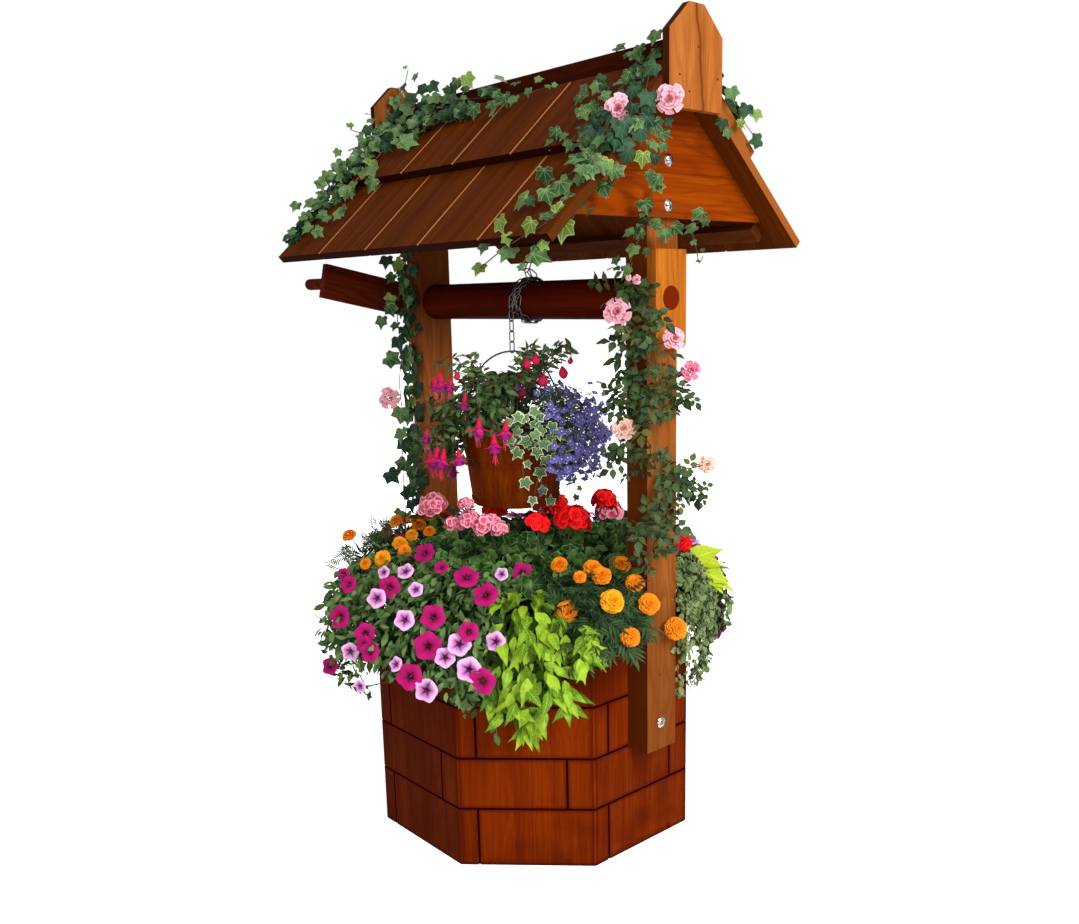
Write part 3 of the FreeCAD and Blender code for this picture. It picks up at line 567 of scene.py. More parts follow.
# Leaves and petals
def leaf_lines_group():
    """Veins of a leaf on its flat map: a midrib with slanting ribs, and ribs that spread from the stalk."""
    inputs = (("Flat Map", "NodeSocketVector"), ("Spread Angle", "NodeSocketFloat"))
    tree, start, end = new_group("leaf veins", inputs, ("Feather", "Palm"))
    u, v, _ = apart(start.outputs["Flat Map"])
    middle_off = minus(u, 0.5)
    side = size_of(middle_off)
    slant = minus(v, times(side, 0.55))
    comb = maths("PINGPONG", times(slant, 7.0), 0.5)
    ribs = steps(comb, 0.36, 0.47, 0.0, 0.5)
    midrib = steps(side, 0.01, 0.045, 1.0, 0.0)
    link(maths("MAXIMUM", midrib, ribs), end, "Feather")
    run = minus(v, 0.4)
    share = maths("DIVIDE", maths("ARCTAN2", middle_off, run), start.outputs["Spread Angle"])
    off = size_of(minus(share, maths("ROUND", share)))
    squares = plus(times(side, side), times(run, run))
    ray = times(off, maths("SQRT", squares))
    link(steps(ray, 0.005, 0.024, 0.8, 0.0), end, "Palm")
    return tree


leaf_lines = leaf_lines_group()


def leaf(name, deep, fresh, vein, spread=None, rough=0.5, rim=None, scale=26.0):
    """Leaf whose green wanders from leaf to leaf, with its veins and, where it has one, a paler rim."""
    tree, shader = new_material(name)
    wander = noise(own_place(tree), scale, 2.0)
    own = tree.nodes.new("ShaderNodeNewGeometry").outputs["Random Per Island"]
    tone = plus(wander, scaled(own, 0.4, -0.2))
    colour = blend_colours(steps(tone, 0.32, 0.68), deep, fresh)
    flat = add(tree, "ShaderNodeUVMap", uv_map="flat")
    lines = add(tree, "ShaderNodeGroup", node_tree=leaf_lines)
    lines.inputs["Spread Angle"].default_value = math.radians(spread or 45)
    link(flat.outputs[0], lines, "Flat Map")
    drawn = lines.outputs["Palm" if spread else "Feather"]
    colour = blend_colours(drawn, colour, vein)
    if rim:
        edge = add(tree, "ShaderNodeAttribute", attribute_name="rim")
        far = plus(edge.outputs["Fac"], scaled(wander, 0.5, -0.25))
        colour = blend_colours(steps(far, rim[1], rim[1] + 0.12), colour, rim[0])
    surface(shader, colour, rough, 0.1)
    bumped(shader, drawn, 0.35, 0.0008)


# Each leaf's deep, fresh and vein tones, then the angle between its ribs, roughness, rim and scale of change
leaf_looks = {
    "ivy green": ((0.02, 0.058, 0.015), (0.088, 0.165, 0.05), (0.17, 0.25, 0.11), 41, 0.42,
                  ((0.19, 0.27, 0.12), 0.93), 48.0),
    "young ivy": ((0.085, 0.15, 0.018), (0.14, 0.215, 0.035), (0.3, 0.38, 0.13), 41, 0.42,
                  ((0.26, 0.33, 0.11), 0.86)),
    "shaded ivy": ((0.006, 0.026, 0.012), (0.022, 0.062, 0.026), (0.06, 0.11, 0.06), 41, 0.45, None, 48.0),
    "cream ivy": ((0.032, 0.09, 0.022), (0.085, 0.175, 0.055), (0.2, 0.3, 0.14), 41, 0.45,
                  ((0.66, 0.7, 0.48), 0.83)),
    "petunia green": ((0.03, 0.078, 0.012), (0.14, 0.235, 0.066), (0.2, 0.3, 0.12), None, 0.5, None, 44),
    "shaded petunia green": ((0.01, 0.028, 0.006), (0.028, 0.06, 0.015), (0.05, 0.09, 0.03)),
    "lime vine green": ((0.08, 0.185, 0.004), (0.27, 0.44, 0.018), (0.36, 0.53, 0.07), None, 0.5, None,
                        44),
    "shaded lime green": ((0.02, 0.06, 0.002), (0.07, 0.15, 0.005), (0.11, 0.2, 0.02)),
    "golden lime leaf": ((0.33, 0.44, 0.006), (0.42, 0.52, 0.02), (0.52, 0.62, 0.09)),
    "marigold green": ((0.013, 0.034, 0.012), (0.042, 0.082, 0.026), (0.07, 0.12, 0.045)),
    "geranium green": ((0.01, 0.038, 0.006), (0.078, 0.17, 0.032), (0.105, 0.195, 0.052), 45, 0.55,
                       ((0.13, 0.22, 0.07), 0.88), 44.0),
    "shaded geranium green": ((0.005, 0.017, 0.003), (0.016, 0.04, 0.008), (0.03, 0.06, 0.015), 45, 0.6),
    "creeper green": ((0.06, 0.105, 0.02), (0.17, 0.22, 0.075), (0.27, 0.33, 0.15), None, 0.5,
                      ((0.32, 0.36, 0.2), 0.85)),
    "rose green": ((0.007, 0.022, 0.006), (0.05, 0.085, 0.026), (0.09, 0.13, 0.05), None, 0.38, None, 40.0),
    "young rose green": ((0.055, 0.06, 0.014), (0.1, 0.105, 0.028), (0.15, 0.15, 0.06)),
    "fuchsia green": ((0.014, 0.038, 0.009), (0.085, 0.15, 0.046), (0.14, 0.22, 0.09), None, 0.42, None, 44),
    "lobelia green": ((0.045, 0.075, 0.035), (0.08, 0.115, 0.06), (0.12, 0.16, 0.09)),
}
for name, look in leaf_looks.items():
    leaf(name, *look)


def petal_lines_group():
    """Round flower on its flat map: distance from the heart, five broad rays and many fine ones."""
    tree, start, end = new_group("petal rays", (("Flat Map", "NodeSocketVector"),), ("Far", "Star", "Fine"))
    u, v, _ = apart(start.outputs["Flat Map"])
    x = minus(u, 0.5)
    y = minus(v, 0.5)
    squares = plus(times(x, x), times(y, y))
    link(times(maths("SQRT", squares), 2.0), end, "Far")
    angle = maths("ARCTAN2", x, y)
    for name, half_count, sharpness in (("Star", 2.5, 5.0), ("Fine", 12.5, 3.0)):
        wave = size_of(maths("COSINE", times(angle, half_count)))
        link(maths("POWER", wave, sharpness), end, name)
    return tree


petal_lines = petal_lines_group()


def petal(name, deep, light, heart=None, heart_size=0.16, veins=None, fade_and_painted_shade=(0.15, 0.9)):
    """Petal on a round flat map: tone from heart to rim, on roses and marigolds also painted shade deep
    between the petals and a painted highlight at their rims, and spreading veins where the flower has them.
    """
    tree, shader = new_material(name)
    flat = add(tree, "ShaderNodeUVMap", uv_map="flat")
    rays = add(tree, "ShaderNodeGroup", node_tree=petal_lines)
    link(flat.outputs[0], rays, "Flat Map")
    far, star, fine = rays.outputs
    tone = plus(far, scaled(noise(own_place(tree), 60.0, 3.0), 0.5, -0.25))
    colour = blend_colours(steps(tone, *fade_and_painted_shade), deep, light)
    if veins:
        both = maths("MAXIMUM", star, times(fine, 0.75))
        fading = steps(far, 0.3, 0.92, 0.85, 0.0)
        colour = blend_colours(times(both, fading), colour, veins)
    if heart:
        pinched = minus(far, times(star, heart_size * 0.9))
        inner = steps(pinched, heart_size * 0.5, heart_size * 1.6, 1.0, 0.0)
        colour = blend_colours(inner, colour, heart)
    surface(shader, colour, 0.65, 0.12)


# Each petal's deep and light tones, then its heart, the heart's size, veins and fade; on roses and marigolds
# the fade is also painted shade deep between the petals and a painted highlight at their rims
petal_looks = {
    "magenta petunia": ((0.21, 0.0015, 0.05), (0.4, 0.003, 0.125), (0.08, 0.001, 0.03), 0.2),
    "veined petunia": ((0.36, 0.08, 0.28), (0.74, 0.4, 0.69), (0.09, 0.006, 0.07), 0.2,
                       (0.2, 0.025, 0.16)),
    "orange marigold": ((0.54, 0.085, 0.0012), (0.88, 0.25, 0.005), None, 0, None, (0.55, 1.0)),
    "golden marigold": ((0.64, 0.16, 0.0015), (0.9, 0.38, 0.008), None, 0, None, (0.55, 1.0)),
    "red geranium": ((0.42, 0.001, 0.002), (0.88, 0.006, 0.008), None, 0, None, (0.3, 0.85)),
    "pink geranium": ((0.6, 0.05, 0.11), (0.9, 0.4, 0.5), None, 0, None, (0.4, 1.0)),
    "pink rose": ((0.61, 0.15, 0.215), (0.89, 0.46, 0.53), None, 0, None, (0.4, 1.0)),
    "deep pink rose": ((0.56, 0.045, 0.115), (0.85, 0.24, 0.36), None, 0, None, (0.4, 1.0)),
    "peach rose": ((0.66, 0.29, 0.22), (0.89, 0.56, 0.46), None, 0, None, (0.4, 1.0)),
    "fuchsia sepal": ((0.48, 0.008, 0.045), (0.7, 0.03, 0.11)),
    "fuchsia skirt": ((0.26, 0.006, 0.14), (0.44, 0.02, 0.26)),
    "lobelia": ((0.075, 0.066, 0.27), (0.19, 0.178, 0.5), (0.55, 0.55, 0.75), 0.11),
}
for name, look in petal_looks.items():
    petal(name, *look)


# Unit shapes that the plants are put together from
def start_piece():
    """Empty bmesh with the flat map and the share of the way to the rim that shapes carry."""
    bm = bmesh.new()
    bm.loops.layers.uv.new("flat")
    bm.verts.layers.float.new("rim")
    return bm


def as_shape(bm, name, slot=None):
    """Mesh of a finished bmesh, its faces smooth and in one material slot where one is given."""
    if slot is not None:
        for face in bm.faces:
            face.material_index = slot
            face.smooth = True
    mesh = bpy.data.meshes.new(name)
    bm.to_mesh(mesh)
    bm.free()
    return mesh


def map_flat(bm, wide=0.5, tall=0.5, middle_y=0.5):
    """Lays the flat map over a shape as seen from above."""
    flat = bm.loops.layers.uv["flat"]
    for face in bm.faces:
        for loop in face.loops:
            loop[flat].uv = (loop.vert.co.x * wide + 0.5, loop.vert.co.y * tall + middle_y)


def blade(name, widths, fold=0.2, droop=0.25, slot=0, ripple=0.0):
    """Leaf one long, from a grid: rows drawn in to the widths, folded at the midrib and arched."""
    bm = start_piece()
    rows = len(widths) - 1
    bmesh.ops.create_grid(bm, x_segments=2, y_segments=rows, size=0.5)
    map_flat(bm, 1, 1)
    rim = bm.verts.layers.float["rim"]
    for vert in bm.verts:
        reach, side = vert.co.y + 0.5, vert.co.x * 2
        vert[rim] = abs(side)
        row = min(int(reach * rows + 1e-4), rows - 1)
        share = reach * rows - row
        x = side * (widths[row] + (widths[row + 1] - widths[row]) * share) / 2
        wave = ripple * math.sin(reach * 15 + side) * abs(side)
        vert.co = (x, reach, fold * abs(x) + wave - droop * reach * reach)
    bmesh.ops.remove_doubles(bm, verts=bm.verts, dist=1e-4)
    return as_shape(bm, name, slot)


def palm(name, reaches, droop=0.2, cup=0.1, slot=0, ripple=0.0, stalk=0.35):
    """Lobed leaf of unit reach, from a capped circle with its rim pulled in and out, its tip along +Y."""
    bm = start_piece()
    count = len(reaches)
    bmesh.ops.create_circle(bm, cap_ends=True, cap_tris=True, segments=count, radius=1.0)
    rim = bm.verts.layers.float["rim"]
    for vert in bm.verts:
        far = vert.co.length
        vert[rim] = far
        if far > 0.5:
            index = round(math.atan2(vert.co.x, vert.co.y) / (2 * math.pi / count)) % count
            vert.co = vert.co * reaches[index]
    bmesh.ops.subdivide_edges(bm, edges=bm.edges, cuts=1, use_grid_fill=True)
    map_flat(bm)
    for vert in bm.verts:
        x, y = vert.co.x, vert.co.y
        far = vert.co.length
        wave = ripple * math.cos(5 * math.atan2(x, y)) * far
        vert.co.z = cup * abs(x) - droop * far * far + wave
        vert.co.y = y + stalk
    return as_shape(bm, name, slot)


def funnel(name, profile, count, lobes=5, lobing=0.1, ruffle=0.06, slot=0):
    """Flower of unit radius spun from a profile, its rim lobed and ruffled."""
    bm = start_piece()
    verts = [bm.verts.new((radius, 0, height)) for radius, height in profile]
    edges = [bm.edges.new(pair) for pair in zip(verts, verts[1:])]
    bmesh.ops.spin(bm, geom=verts + edges, axis=(0, 0, 1), angle=2 * math.pi, steps=count, use_merge=True)
    bmesh.ops.remove_doubles(bm, verts=bm.verts, dist=1e-4)
    map_flat(bm)
    for vert in bm.verts:
        angle = math.atan2(vert.co.x, vert.co.y)
        far = math.hypot(vert.co.x, vert.co.y)
        grow = 1 + lobing * (math.cos(lobes * angle) - 0.5) * far**2
        vert.co.x *= grow
        vert.co.y *= grow
        vert.co.z += ruffle * math.cos(lobes * angle) * far**3
        vert.co.z += ruffle * 0.5 * math.cos(3 * lobes * angle) * far**4
    bmesh.ops.recalc_face_normals(bm, faces=bm.faces)
    return as_shape(bm, name, slot)


def join(bm, template, matrix):
    """Adds a placed copy of a unit shape."""
    copy = template.copy()
    copy.transform(matrix)
    bm.from_mesh(copy)
    bpy.data.meshes.remove(copy)


def laid(place, facing, pointing, size):
    """Matrix that puts a unit shape at a place: its +Z along facing, its +Y as near pointing as can be."""
    z = facing.normalized()
    y = pointing - z * pointing.dot(z)
    if y.length < 1e-5:
        y = z.orthogonal()
    y.normalize()
    turned = Matrix((y.cross(z), y, z)).transposed().to_4x4()
    return Matrix.Translation(place) @ turned @ Matrix.Scale(size, 4)


def tubes(bm, paths, thickness, slot):
    """Adds smooth stems along the paths."""
    curve = bpy.data.curves.new("stems", "CURVE")
    curve.dimensions = "3D"
    curve.bevel_depth = thickness
    curve.bevel_resolution = 0
    curve.resolution_u = 3
    for path in paths:
        spline = curve.splines.new("NURBS")
        spline.points.add(len(path) - 1)
        for point, place in zip(spline.points, path):
            point.co = (*place, 1)
        spline.order_u = 3
        spline.use_endpoint_u = True
    holder = bpy.data.objects.new("stems", curve)
    scene.collection.objects.link(holder)
    mesh = bpy.data.meshes.new_from_object(holder.evaluated_get(bpy.context.evaluated_depsgraph_get()))
    for polygon in mesh.polygons:
        polygon.material_index = slot
        polygon.use_smooth = True
    bm.from_mesh(mesh)
    bpy.data.objects.remove(holder)
    bpy.data.curves.remove(curve)
    bpy.data.meshes.remove(mesh)


def finished(bm, name, materials, body, replaced=()):
    """Object made from a bmesh, riding on its body."""
    mesh = as_shape(bm, name)
    for material in materials:
        mesh.materials.append(finishes[material])
    piece = bpy.data.objects.new(name, mesh)
    scene.collection.objects.link(piece)
    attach(piece, body)
    if replaced:
        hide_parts(*replaced)
    return piece


# Leaves
ivy_reaches = [1.0, 0.58, 0.82, 0.56, 0.68, 0.54, 0.3, 0.54, 0.68, 0.56, 0.82, 0.58]
cream_reaches = [1.0, 0.48, 0.78, 0.46, 0.6, 0.48, 0.28, 0.48, 0.6, 0.46, 0.78, 0.48]
ivy_shapes = [palm(f"ivy leaf {k}", ivy_reaches, 0.2 + 0.08 * k, 0.18, k, 0.05) for k in range(3)]
cream_shape = palm("variegated ivy leaf", cream_reaches, 0.26, 0.16, 0, 0.05)
scallops = [1.0, 0.9] * 9
scallops[8:11] = [0.86, 0.32, 0.86]
geranium_shapes = [
    palm(f"geranium leaf {k}", scallops, 0.1 - 0.16 * k, 0.05, 0, 0.08, 0.3) for k in range(2)
]
geranium_under = palm("shaded geranium leaf", scallops, 0.1, 0.05, 1, 0.08, 0.3)
oval = (0.05, 0.34, 0.46, 0.38, 0.0)
petunia_shapes = [blade(f"petunia leaf {k}", oval, 0.22, 0.3 + 0.2 * k, k) for k in range(2)]
long_heart = (0.06, 0.36, 0.42, 0.28, 0.12, 0.0)
lime_shapes = [blade(f"lime leaf {k}", long_heart, 0.3, 0.3 + 0.2 * k, k, 0.03) for k in range(2)]
tuft_shape = blade("tuft leaf", (0.08, 0.5, 0.58, 0.42, 0.19, 0.0), 0.26, 0.35, 2, 0.04)
leaflet = (0.0, 0.44, 0.64, 0.52, 0.24, 0.0)
rose_shapes = [blade(f"rose leaflet {k}", leaflet, 0.28, 0.25, k, 0.03) for k in range(2)]
fuchsia_shape = blade("fuchsia leaf", (0.05, 0.36, 0.44, 0.3, 0.0), 0.25, 0.3)
small_shape = blade("small leaf", (0.1, 0.66, 0.74, 0.0), 0.2, 0.15)
needle_shape = blade("narrow leaflet", (0.04, 0.2, 0.16, 0.0), 0.3, 0.2)


def compound(name, leaflets):
    """Leaf of several leaflets, each given as shape, place along the stalk, angle and size."""
    bm = start_piece()
    for shape, reach, angle, size in leaflets:
        turned = Matrix.Rotation(-math.radians(angle), 4, "Z")
        turned = turned @ Matrix.Rotation(math.radians(rng.uniform(-14, 14)), 4, "Y")
        lifted = Matrix.Translation((0, reach, 0.03 * math.sin(reach * 3)))
        join(bm, shape, lifted @ turned @ Matrix.Scale(size, 4))
    return as_shape(bm, name)


def feather_leaf(name):
    """Marigold leaf: five pairs of narrow leaflets and one at the tip."""
    leaflets = [(needle_shape, 0.75, 0, 0.42)]
    for row in range(5):
        for side in (-1, 1):
            size = 0.46 - 0.04 * abs(row - 2)
            leaflets.append((needle_shape, 0.12 + 0.14 * row, side * (52 - 3 * row), size))
    return compound(name, leaflets)


def rose_leaf(name, shape):
    """Rose leaf of five leaflets."""
    rows = ((0.6, 0, 0.5), (0.44, 66, 0.44), (0.44, -66, 0.44), (0.12, 74, 0.38), (0.12, -74, 0.38))
    return compound(name, [(shape, *row) for row in rows])


feathers = [feather_leaf(f"marigold leaf {k}") for k in range(3)]
rose_sprays = [rose_leaf(f"rose leaf {k}", rose_shapes[k]) for k in range(2)]

# Flowers
petunia_profile = [(0.05, -0.75), (0.09, -0.42), (0.16, -0.12), (0.42, 0.0), (0.75, 0.03), (1.0, -0.05)]
petunia_bloom = funnel("petunia", petunia_profile, 20, 5, 0.075, 0.075)


def petal_shape(name, width, cup, curl, rows=3):
    """Single broad petal, one long, cupped and curled back at its rim."""
    bm = start_piece()
    bmesh.ops.create_grid(bm, x_segments=2, y_segments=rows, size=0.5)
    map_flat(bm, 0.4, 0.5, 0.75)
    for vert in bm.verts:
        reach, side = vert.co.y + 0.5, vert.co.x * 2
        spread = width * (0.28 + 0.72 * math.sin(min(reach * 1.25, 1) * quarter)) * 0.5
        end = reach * (1 - 0.14 * side * side * reach)
        vert.co = (side * spread, end, cup * side * side * spread + curl * reach * reach)
    return as_shape(bm, name, 0)


def whorls(name, rings, slot=0, wildness=1.0):
    """Flower of rings of petals: shape, count, start radius, length, tilt above level, height."""
    bm = start_piece()
    for shape, count, radius, size, lean_up, height in rings:
        for k in range(count):
            angle = 2 * math.pi * (k + wildness * rng.uniform(-0.18, 0.18)) / count + height * 7
            turned = Matrix.Rotation(angle, 4, "Z") @ Matrix.Translation((0, radius, height))
            raised = math.radians(lean_up + wildness * rng.uniform(-8, 8))
            turned = turned @ Matrix.Rotation(raised, 4, "X")
            join(bm, shape, turned @ Matrix.Scale(size * rng.uniform(0.9, 1.08), 4))
    return as_shape(bm, name, slot)


tight = petal_shape("tight petal", 1.3, 0.75, 0.16)
frilled = petal_shape("frilled petal", 1.25, 0.42, -0.34, 4)
ruffled = petal_shape("ruffled petal", 0.95, 0.55, -0.22, 2)
floret_petal = petal_shape("floret petal", 1.15, 0.18, -0.15, 2)


def rose_bloom(name, slot):
    """Full garden rose of unit radius."""
    rings = [(tight, 3, 0.00, 0.22, 64, 0.34), (tight, 5, 0.06, 0.26, 58, 0.31)]
    rings += [(frilled, 6, 0.15, 0.31, 46, 0.25), (frilled, 7, 0.26, 0.36, 34, 0.17)]
    rings += [(frilled, 7, 0.38, 0.42, 20, 0.08), (frilled, 7, 0.48, 0.5, 6, -0.02)]
    return whorls(name, rings, slot, 2.0)


def marigold_bloom(name, slot):
    """Ruffled pompom of unit radius."""
    rings = [(ruffled, 6, 0.00, 0.22, 44, 0.44), (ruffled, 10, 0.03, 0.34, 38, 0.4)]
    rings += [(ruffled, 14, 0.1, 0.42, 30, 0.33), (ruffled, 17, 0.2, 0.46, 20, 0.24)]
    rings += [(ruffled, 19, 0.32, 0.48, 8, 0.13), (ruffled, 20, 0.45, 0.46, -8, 0.02)]
    return whorls(name, rings, slot, 2.2)


def flower_head(name, slot, count=46, flatness=0.8):
    """Ball of five petalled florets of unit radius."""
    bm = start_piece()
    floret = whorls("floret", [(floret_petal, 5, 0.05, 0.95, 14, 0.0)], slot)
    for k in range(count):
        height = 1 - (k + 0.5) / count * 1.35
        ring = math.sqrt(max(0, 1 - height * height))
        way = radial_way(k * golden_angle) * ring + up * height
        place = Vector((way.x * 0.7, way.y * 0.7, way.z * 0.7 * flatness)) + shake(0.035)
        join(bm, floret, laid(place, way + shake(0.34), shake(1.0), rng.uniform(0.27, 0.37)))
    return as_shape(bm, name)


roses = [rose_bloom(f"rose {k}", k) for k in (2, 3, 4)]
marigold_blooms = [marigold_bloom(f"marigold {k}", k) for k in range(2)]
red_head = flower_head("red head", 1)
pink_head = flower_head("pink head", 2)


def fuchsia_bloom(name):
    """Hanging fuchsia one long, from its stalk's end: tube, four raised sepals, purple skirt and stamens."""
    bm = start_piece()
    tube_profile = [(0.0, 0.0), (0.06, -0.03), (0.09, -0.2), (0.13, -0.34)]
    join(bm, funnel("tube", tube_profile, 8, 4, 0.0, 0.0, 1), Matrix.Identity(4))
    sepal = blade("sepal", (0.22, 0.44, 0.34, 0.0), -0.3, -0.5, 1)
    for k in range(4):
        turned = Matrix.Rotation(k * quarter, 4, "Z") @ Matrix.Translation((0, 0.08, -0.33))
        join(bm, sepal, turned @ Matrix.Rotation(-0.8, 4, "X") @ Matrix.Scale(0.42, 4))
    skirt_profile = [(0.07, -0.3), (0.16, -0.4), (0.2, -0.54), (0.18, -0.66)]
    join(bm, funnel("skirt", skirt_profile, 12, 4, 0.25, 0.6, 2), Matrix.Identity(4))
    threads = []
    for k in range(5):
        way = radial_way(72 * k) * (0.02 + 0.03 * (k % 2))
        threads.append([Vector((0, 0, -0.45)), way - up * 0.8, way * 2 - up * (0.98 + 0.05 * (k % 3))])
    tubes(bm, threads, 0.01, 1)
    return as_shape(bm, name)


def lobelia_bloom(name):
    """Small flower with three broad lower petals and two narrow upper ones."""
    bm = start_piece()
    one = blade("lobelia petal", (0.3, 0.85, 0.0), 0.0, 0.1, 1)
    for angle, size in ((180, 1.0), (118, 0.95), (-118, 0.95), (34, 0.66), (-34, 0.66)):
        turned = Matrix.Rotation(-math.radians(angle), 4, "Z") @ Matrix.Rotation(0.2, 4, "X")
        join(bm, one, turned @ Matrix.Scale(size, 4))
    map_flat(bm)
    return as_shape(bm, name)


fuchsia_flower = fuchsia_bloom("fuchsia flower")
bud_profile = [(0.0, 0.0), (0.1, -0.06), (0.3, -0.34), (0.4, -0.6), (0.24, -0.88), (0.0, -1.0)]
bud_shape = funnel("fuchsia bud", bud_profile, 8, 4, 0.1, 0.0, 1)
lobelia_flower = lobelia_bloom("lobelia flower")

# Planting of the base: profiles as distances out from the wall and above the rim, as the frame has them
profiles = {
    "trailing": [
        (0.07, -0.12), (0.14, -0.088), (0.155, -0.008), (0.12, 0.097),
        (0.04, 0.152), (-0.11, 0.172),
    ],
    "bushy": [
        (0.08, -0.058), (0.135, -0.018), (0.14, 0.052), (0.1, 0.132),
        (0.02, 0.172), (-0.11, 0.182),
    ],
    "vine": [
        (0.04, -0.203), (0.09, -0.158), (0.12, -0.038), (0.11, 0.052),
        (0.03, 0.112), (-0.11, 0.146),
    ],
    "creeping": [
        (0.04, -0.173), (0.075, -0.108), (0.09, -0.008), (0.08, 0.112),
        (0.01, 0.172), (-0.11, 0.176),
    ],
    "rearward": [
        (0.065, -0.103), (0.11, -0.058), (0.12, 0.012), (0.09, 0.102),
        (0.02, 0.152), (-0.11, 0.162),
    ],
}


def profile_at(angle):
    """Profile of the planting at an angle about the base."""
    angle = (angle + 200) % 360 - 200
    if -158 <= angle < -52.2:
        return profiles["trailing"]
    if -52.2 <= angle < -31.2:
        return profiles["vine"]
    if -31.2 <= angle < 2 or angle < -158 or angle > 171:
        return profiles["bushy"]
    if 2 <= angle < 41.7:
        return profiles["creeping"]
    return profiles["rearward"]


def along_profile(rows, share):
    """Place and slope at a share of the way along a profile."""
    lengths = [math.dist(a, b) for a, b in zip(rows, rows[1:])]
    left = share * sum(lengths)
    for (a, b), length in zip(zip(rows, rows[1:]), lengths):
        if left <= length or b == rows[-1]:
            break
        left -= length
    part = min(left / length, 1.0)
    slope = Vector((b[0] - a[0], b[1] - a[1])).normalized()
    return a[0] + (b[0] - a[0]) * part, a[1] + (b[1] - a[1]) * part, slope


def on_mound(angle, share, lift=0.0):
    """Point of the base planting's surface, a share of the way from lower lip to top, and its normal."""
    out, rise, slope = along_profile(profile_at(angle), share)
    radial = radial_way(angle)
    normal = (radial * slope.y - up * slope.x).normalized()
    return radial * (wall_face + out) + up * (wall_rim + rise) + normal * lift, normal


def inside_outline(rows, x, y):
    """Whether a point lies in a closed outline."""
    inside = False
    for (x0, y0), (x1, y1) in zip(rows, rows[1:] + rows[:1]):
        if (y0 > y) != (y1 > y) and x < (x1 - x0) * (y - y0) / (y1 - y0) + x0:
            inside = not inside
    return inside


# The middle of the planting is a dome, its slope going on beyond it
dome_top = 0.738
dome_radius = 0.151
dome_fall = 0.045
dome_slope = 0.22
soil_level = 0.455


def in_mound(place):
    """Whether a point lies in the planting of the base."""
    radius = math.hypot(place.x, place.y)
    if radius < dome_radius:
        return soil_level < place.z < dome_top - dome_fall * (radius / dome_radius) ** 2
    rows = profile_at(math.degrees(math.atan2(place.y, place.x)))
    rows = [(-0.21, -0.03), (-0.008, -0.03), (-0.008, rows[0][1] + 0.02)] + rows + [(-0.21, rows[-1][1])]
    return inside_outline(rows, radius - wall_face, place.z - wall_rim)


def seen_in(px, py, inside, near=1.5, far=3.2, stride=0.004):
    """First point along a line of sight that lies within a mass."""
    ray = sight(px, py)
    distance = near
    while distance < far:
        if inside(camera_place + ray * distance):
            return camera_place + ray * distance
        distance += stride
    return None


def mound_normal(place):
    """Outward direction of the base planting near a point."""
    radius = math.hypot(place.x, place.y)
    hub = Vector((place.x, place.y, 0)).normalized() * min(radius * 0.62, 0.26) + up * 0.47
    return (place - hub).normalized()


def spread_leaves(bm, shapes, count, angles, shares, sizes, lift=(-0.04, -0.006), fall=0.6, tilt_by=0.45):
    """Leaves all over a stretch of the base planting, pointing outwards and hanging by fall."""
    for _ in range(count):
        angle, share = rng.uniform(*angles), rng.uniform(*shares)
        place, normal = on_mound(angle, share, rng.uniform(*lift))
        pointing = radial_way(angle) * (1 - 0.5 * fall) - up * fall + shake(0.6)
        facing = normal + up * 0.25 + shake(tilt_by)
        join(bm, rng.choice(shapes), laid(place, facing, pointing, rng.uniform(*sizes)))


left_side_end = 500


def bloom_by_sight(bm, template, px, py, radius, frontal=0.55, rising=0.0, lift=0.016):
    """Bloom where the photograph shows it, on the planting's surface, or on a stalk beside it."""
    place = seen_in(px, py, in_mound)
    if place is None:
        anchor, _ = on_mound(-150 if px < left_side_end else 25, 0.8)
        place = seen_beside(px, py, anchor)
    normal = mound_normal(place)
    facing = normal * (1 - frontal) + towards_camera(place) * frontal + up * rising + shake(0.12)
    place = place + facing.normalized() * lift
    join(bm, template, laid(place, facing, shake(1.0), radius))
    return place


def stalk_to(place, depth=0.07):
    """Path of a stalk from within the planting to a bloom."""
    foot = place - mound_normal(place) * depth - up * 0.02
    return [foot, foot.lerp(place, 0.5) + shake(0.004), place]


# Petunias
bm = start_piece()
outer, under = petunia_shapes[:1], petunia_shapes[1:]
for count, angles, lowest in ((800, (-125, -78), 0.3), (290, (-78, -62), 0.26), (210, (-62, -51), 0.15)):
    spread_leaves(bm, outer, count, angles, (lowest, 0.96), (0.018, 0.033), (-0.04, 0.002), 0.45, 0.75)
    spread_leaves(bm, under, count, angles, (lowest - 0.03, 0.96), (0.024, 0.036), (-0.066, -0.036))
for row in (
    (petunia_shapes, 90, (-113, -86), (0.12, 0.3), (0.018, 0.028), (-0.03, 0.004), 0.5, 0.7),
    (outer, 480, (-159, -120), (0.2, 0.99), (0.02, 0.034), (-0.046, -0.01), 0.5, 0.7),
    (under, 500, (-159, -125), (0.12, 0.99), (0.024, 0.038), (-0.064, -0.032)),
    (outer, 1560, (42, 172), (0.02, 0.99), (0.026, 0.042), (-0.036, -0.004), 0.6, 0.6),
    (under, 940, (42, 172), (0.0, 0.99), (0.026, 0.04), (-0.058, -0.03)),
):
    spread_leaves(bm, *row)
finished(bm, "petunia_foliage", ["petunia green", "shaded petunia green"], "planter", ["petunias"])

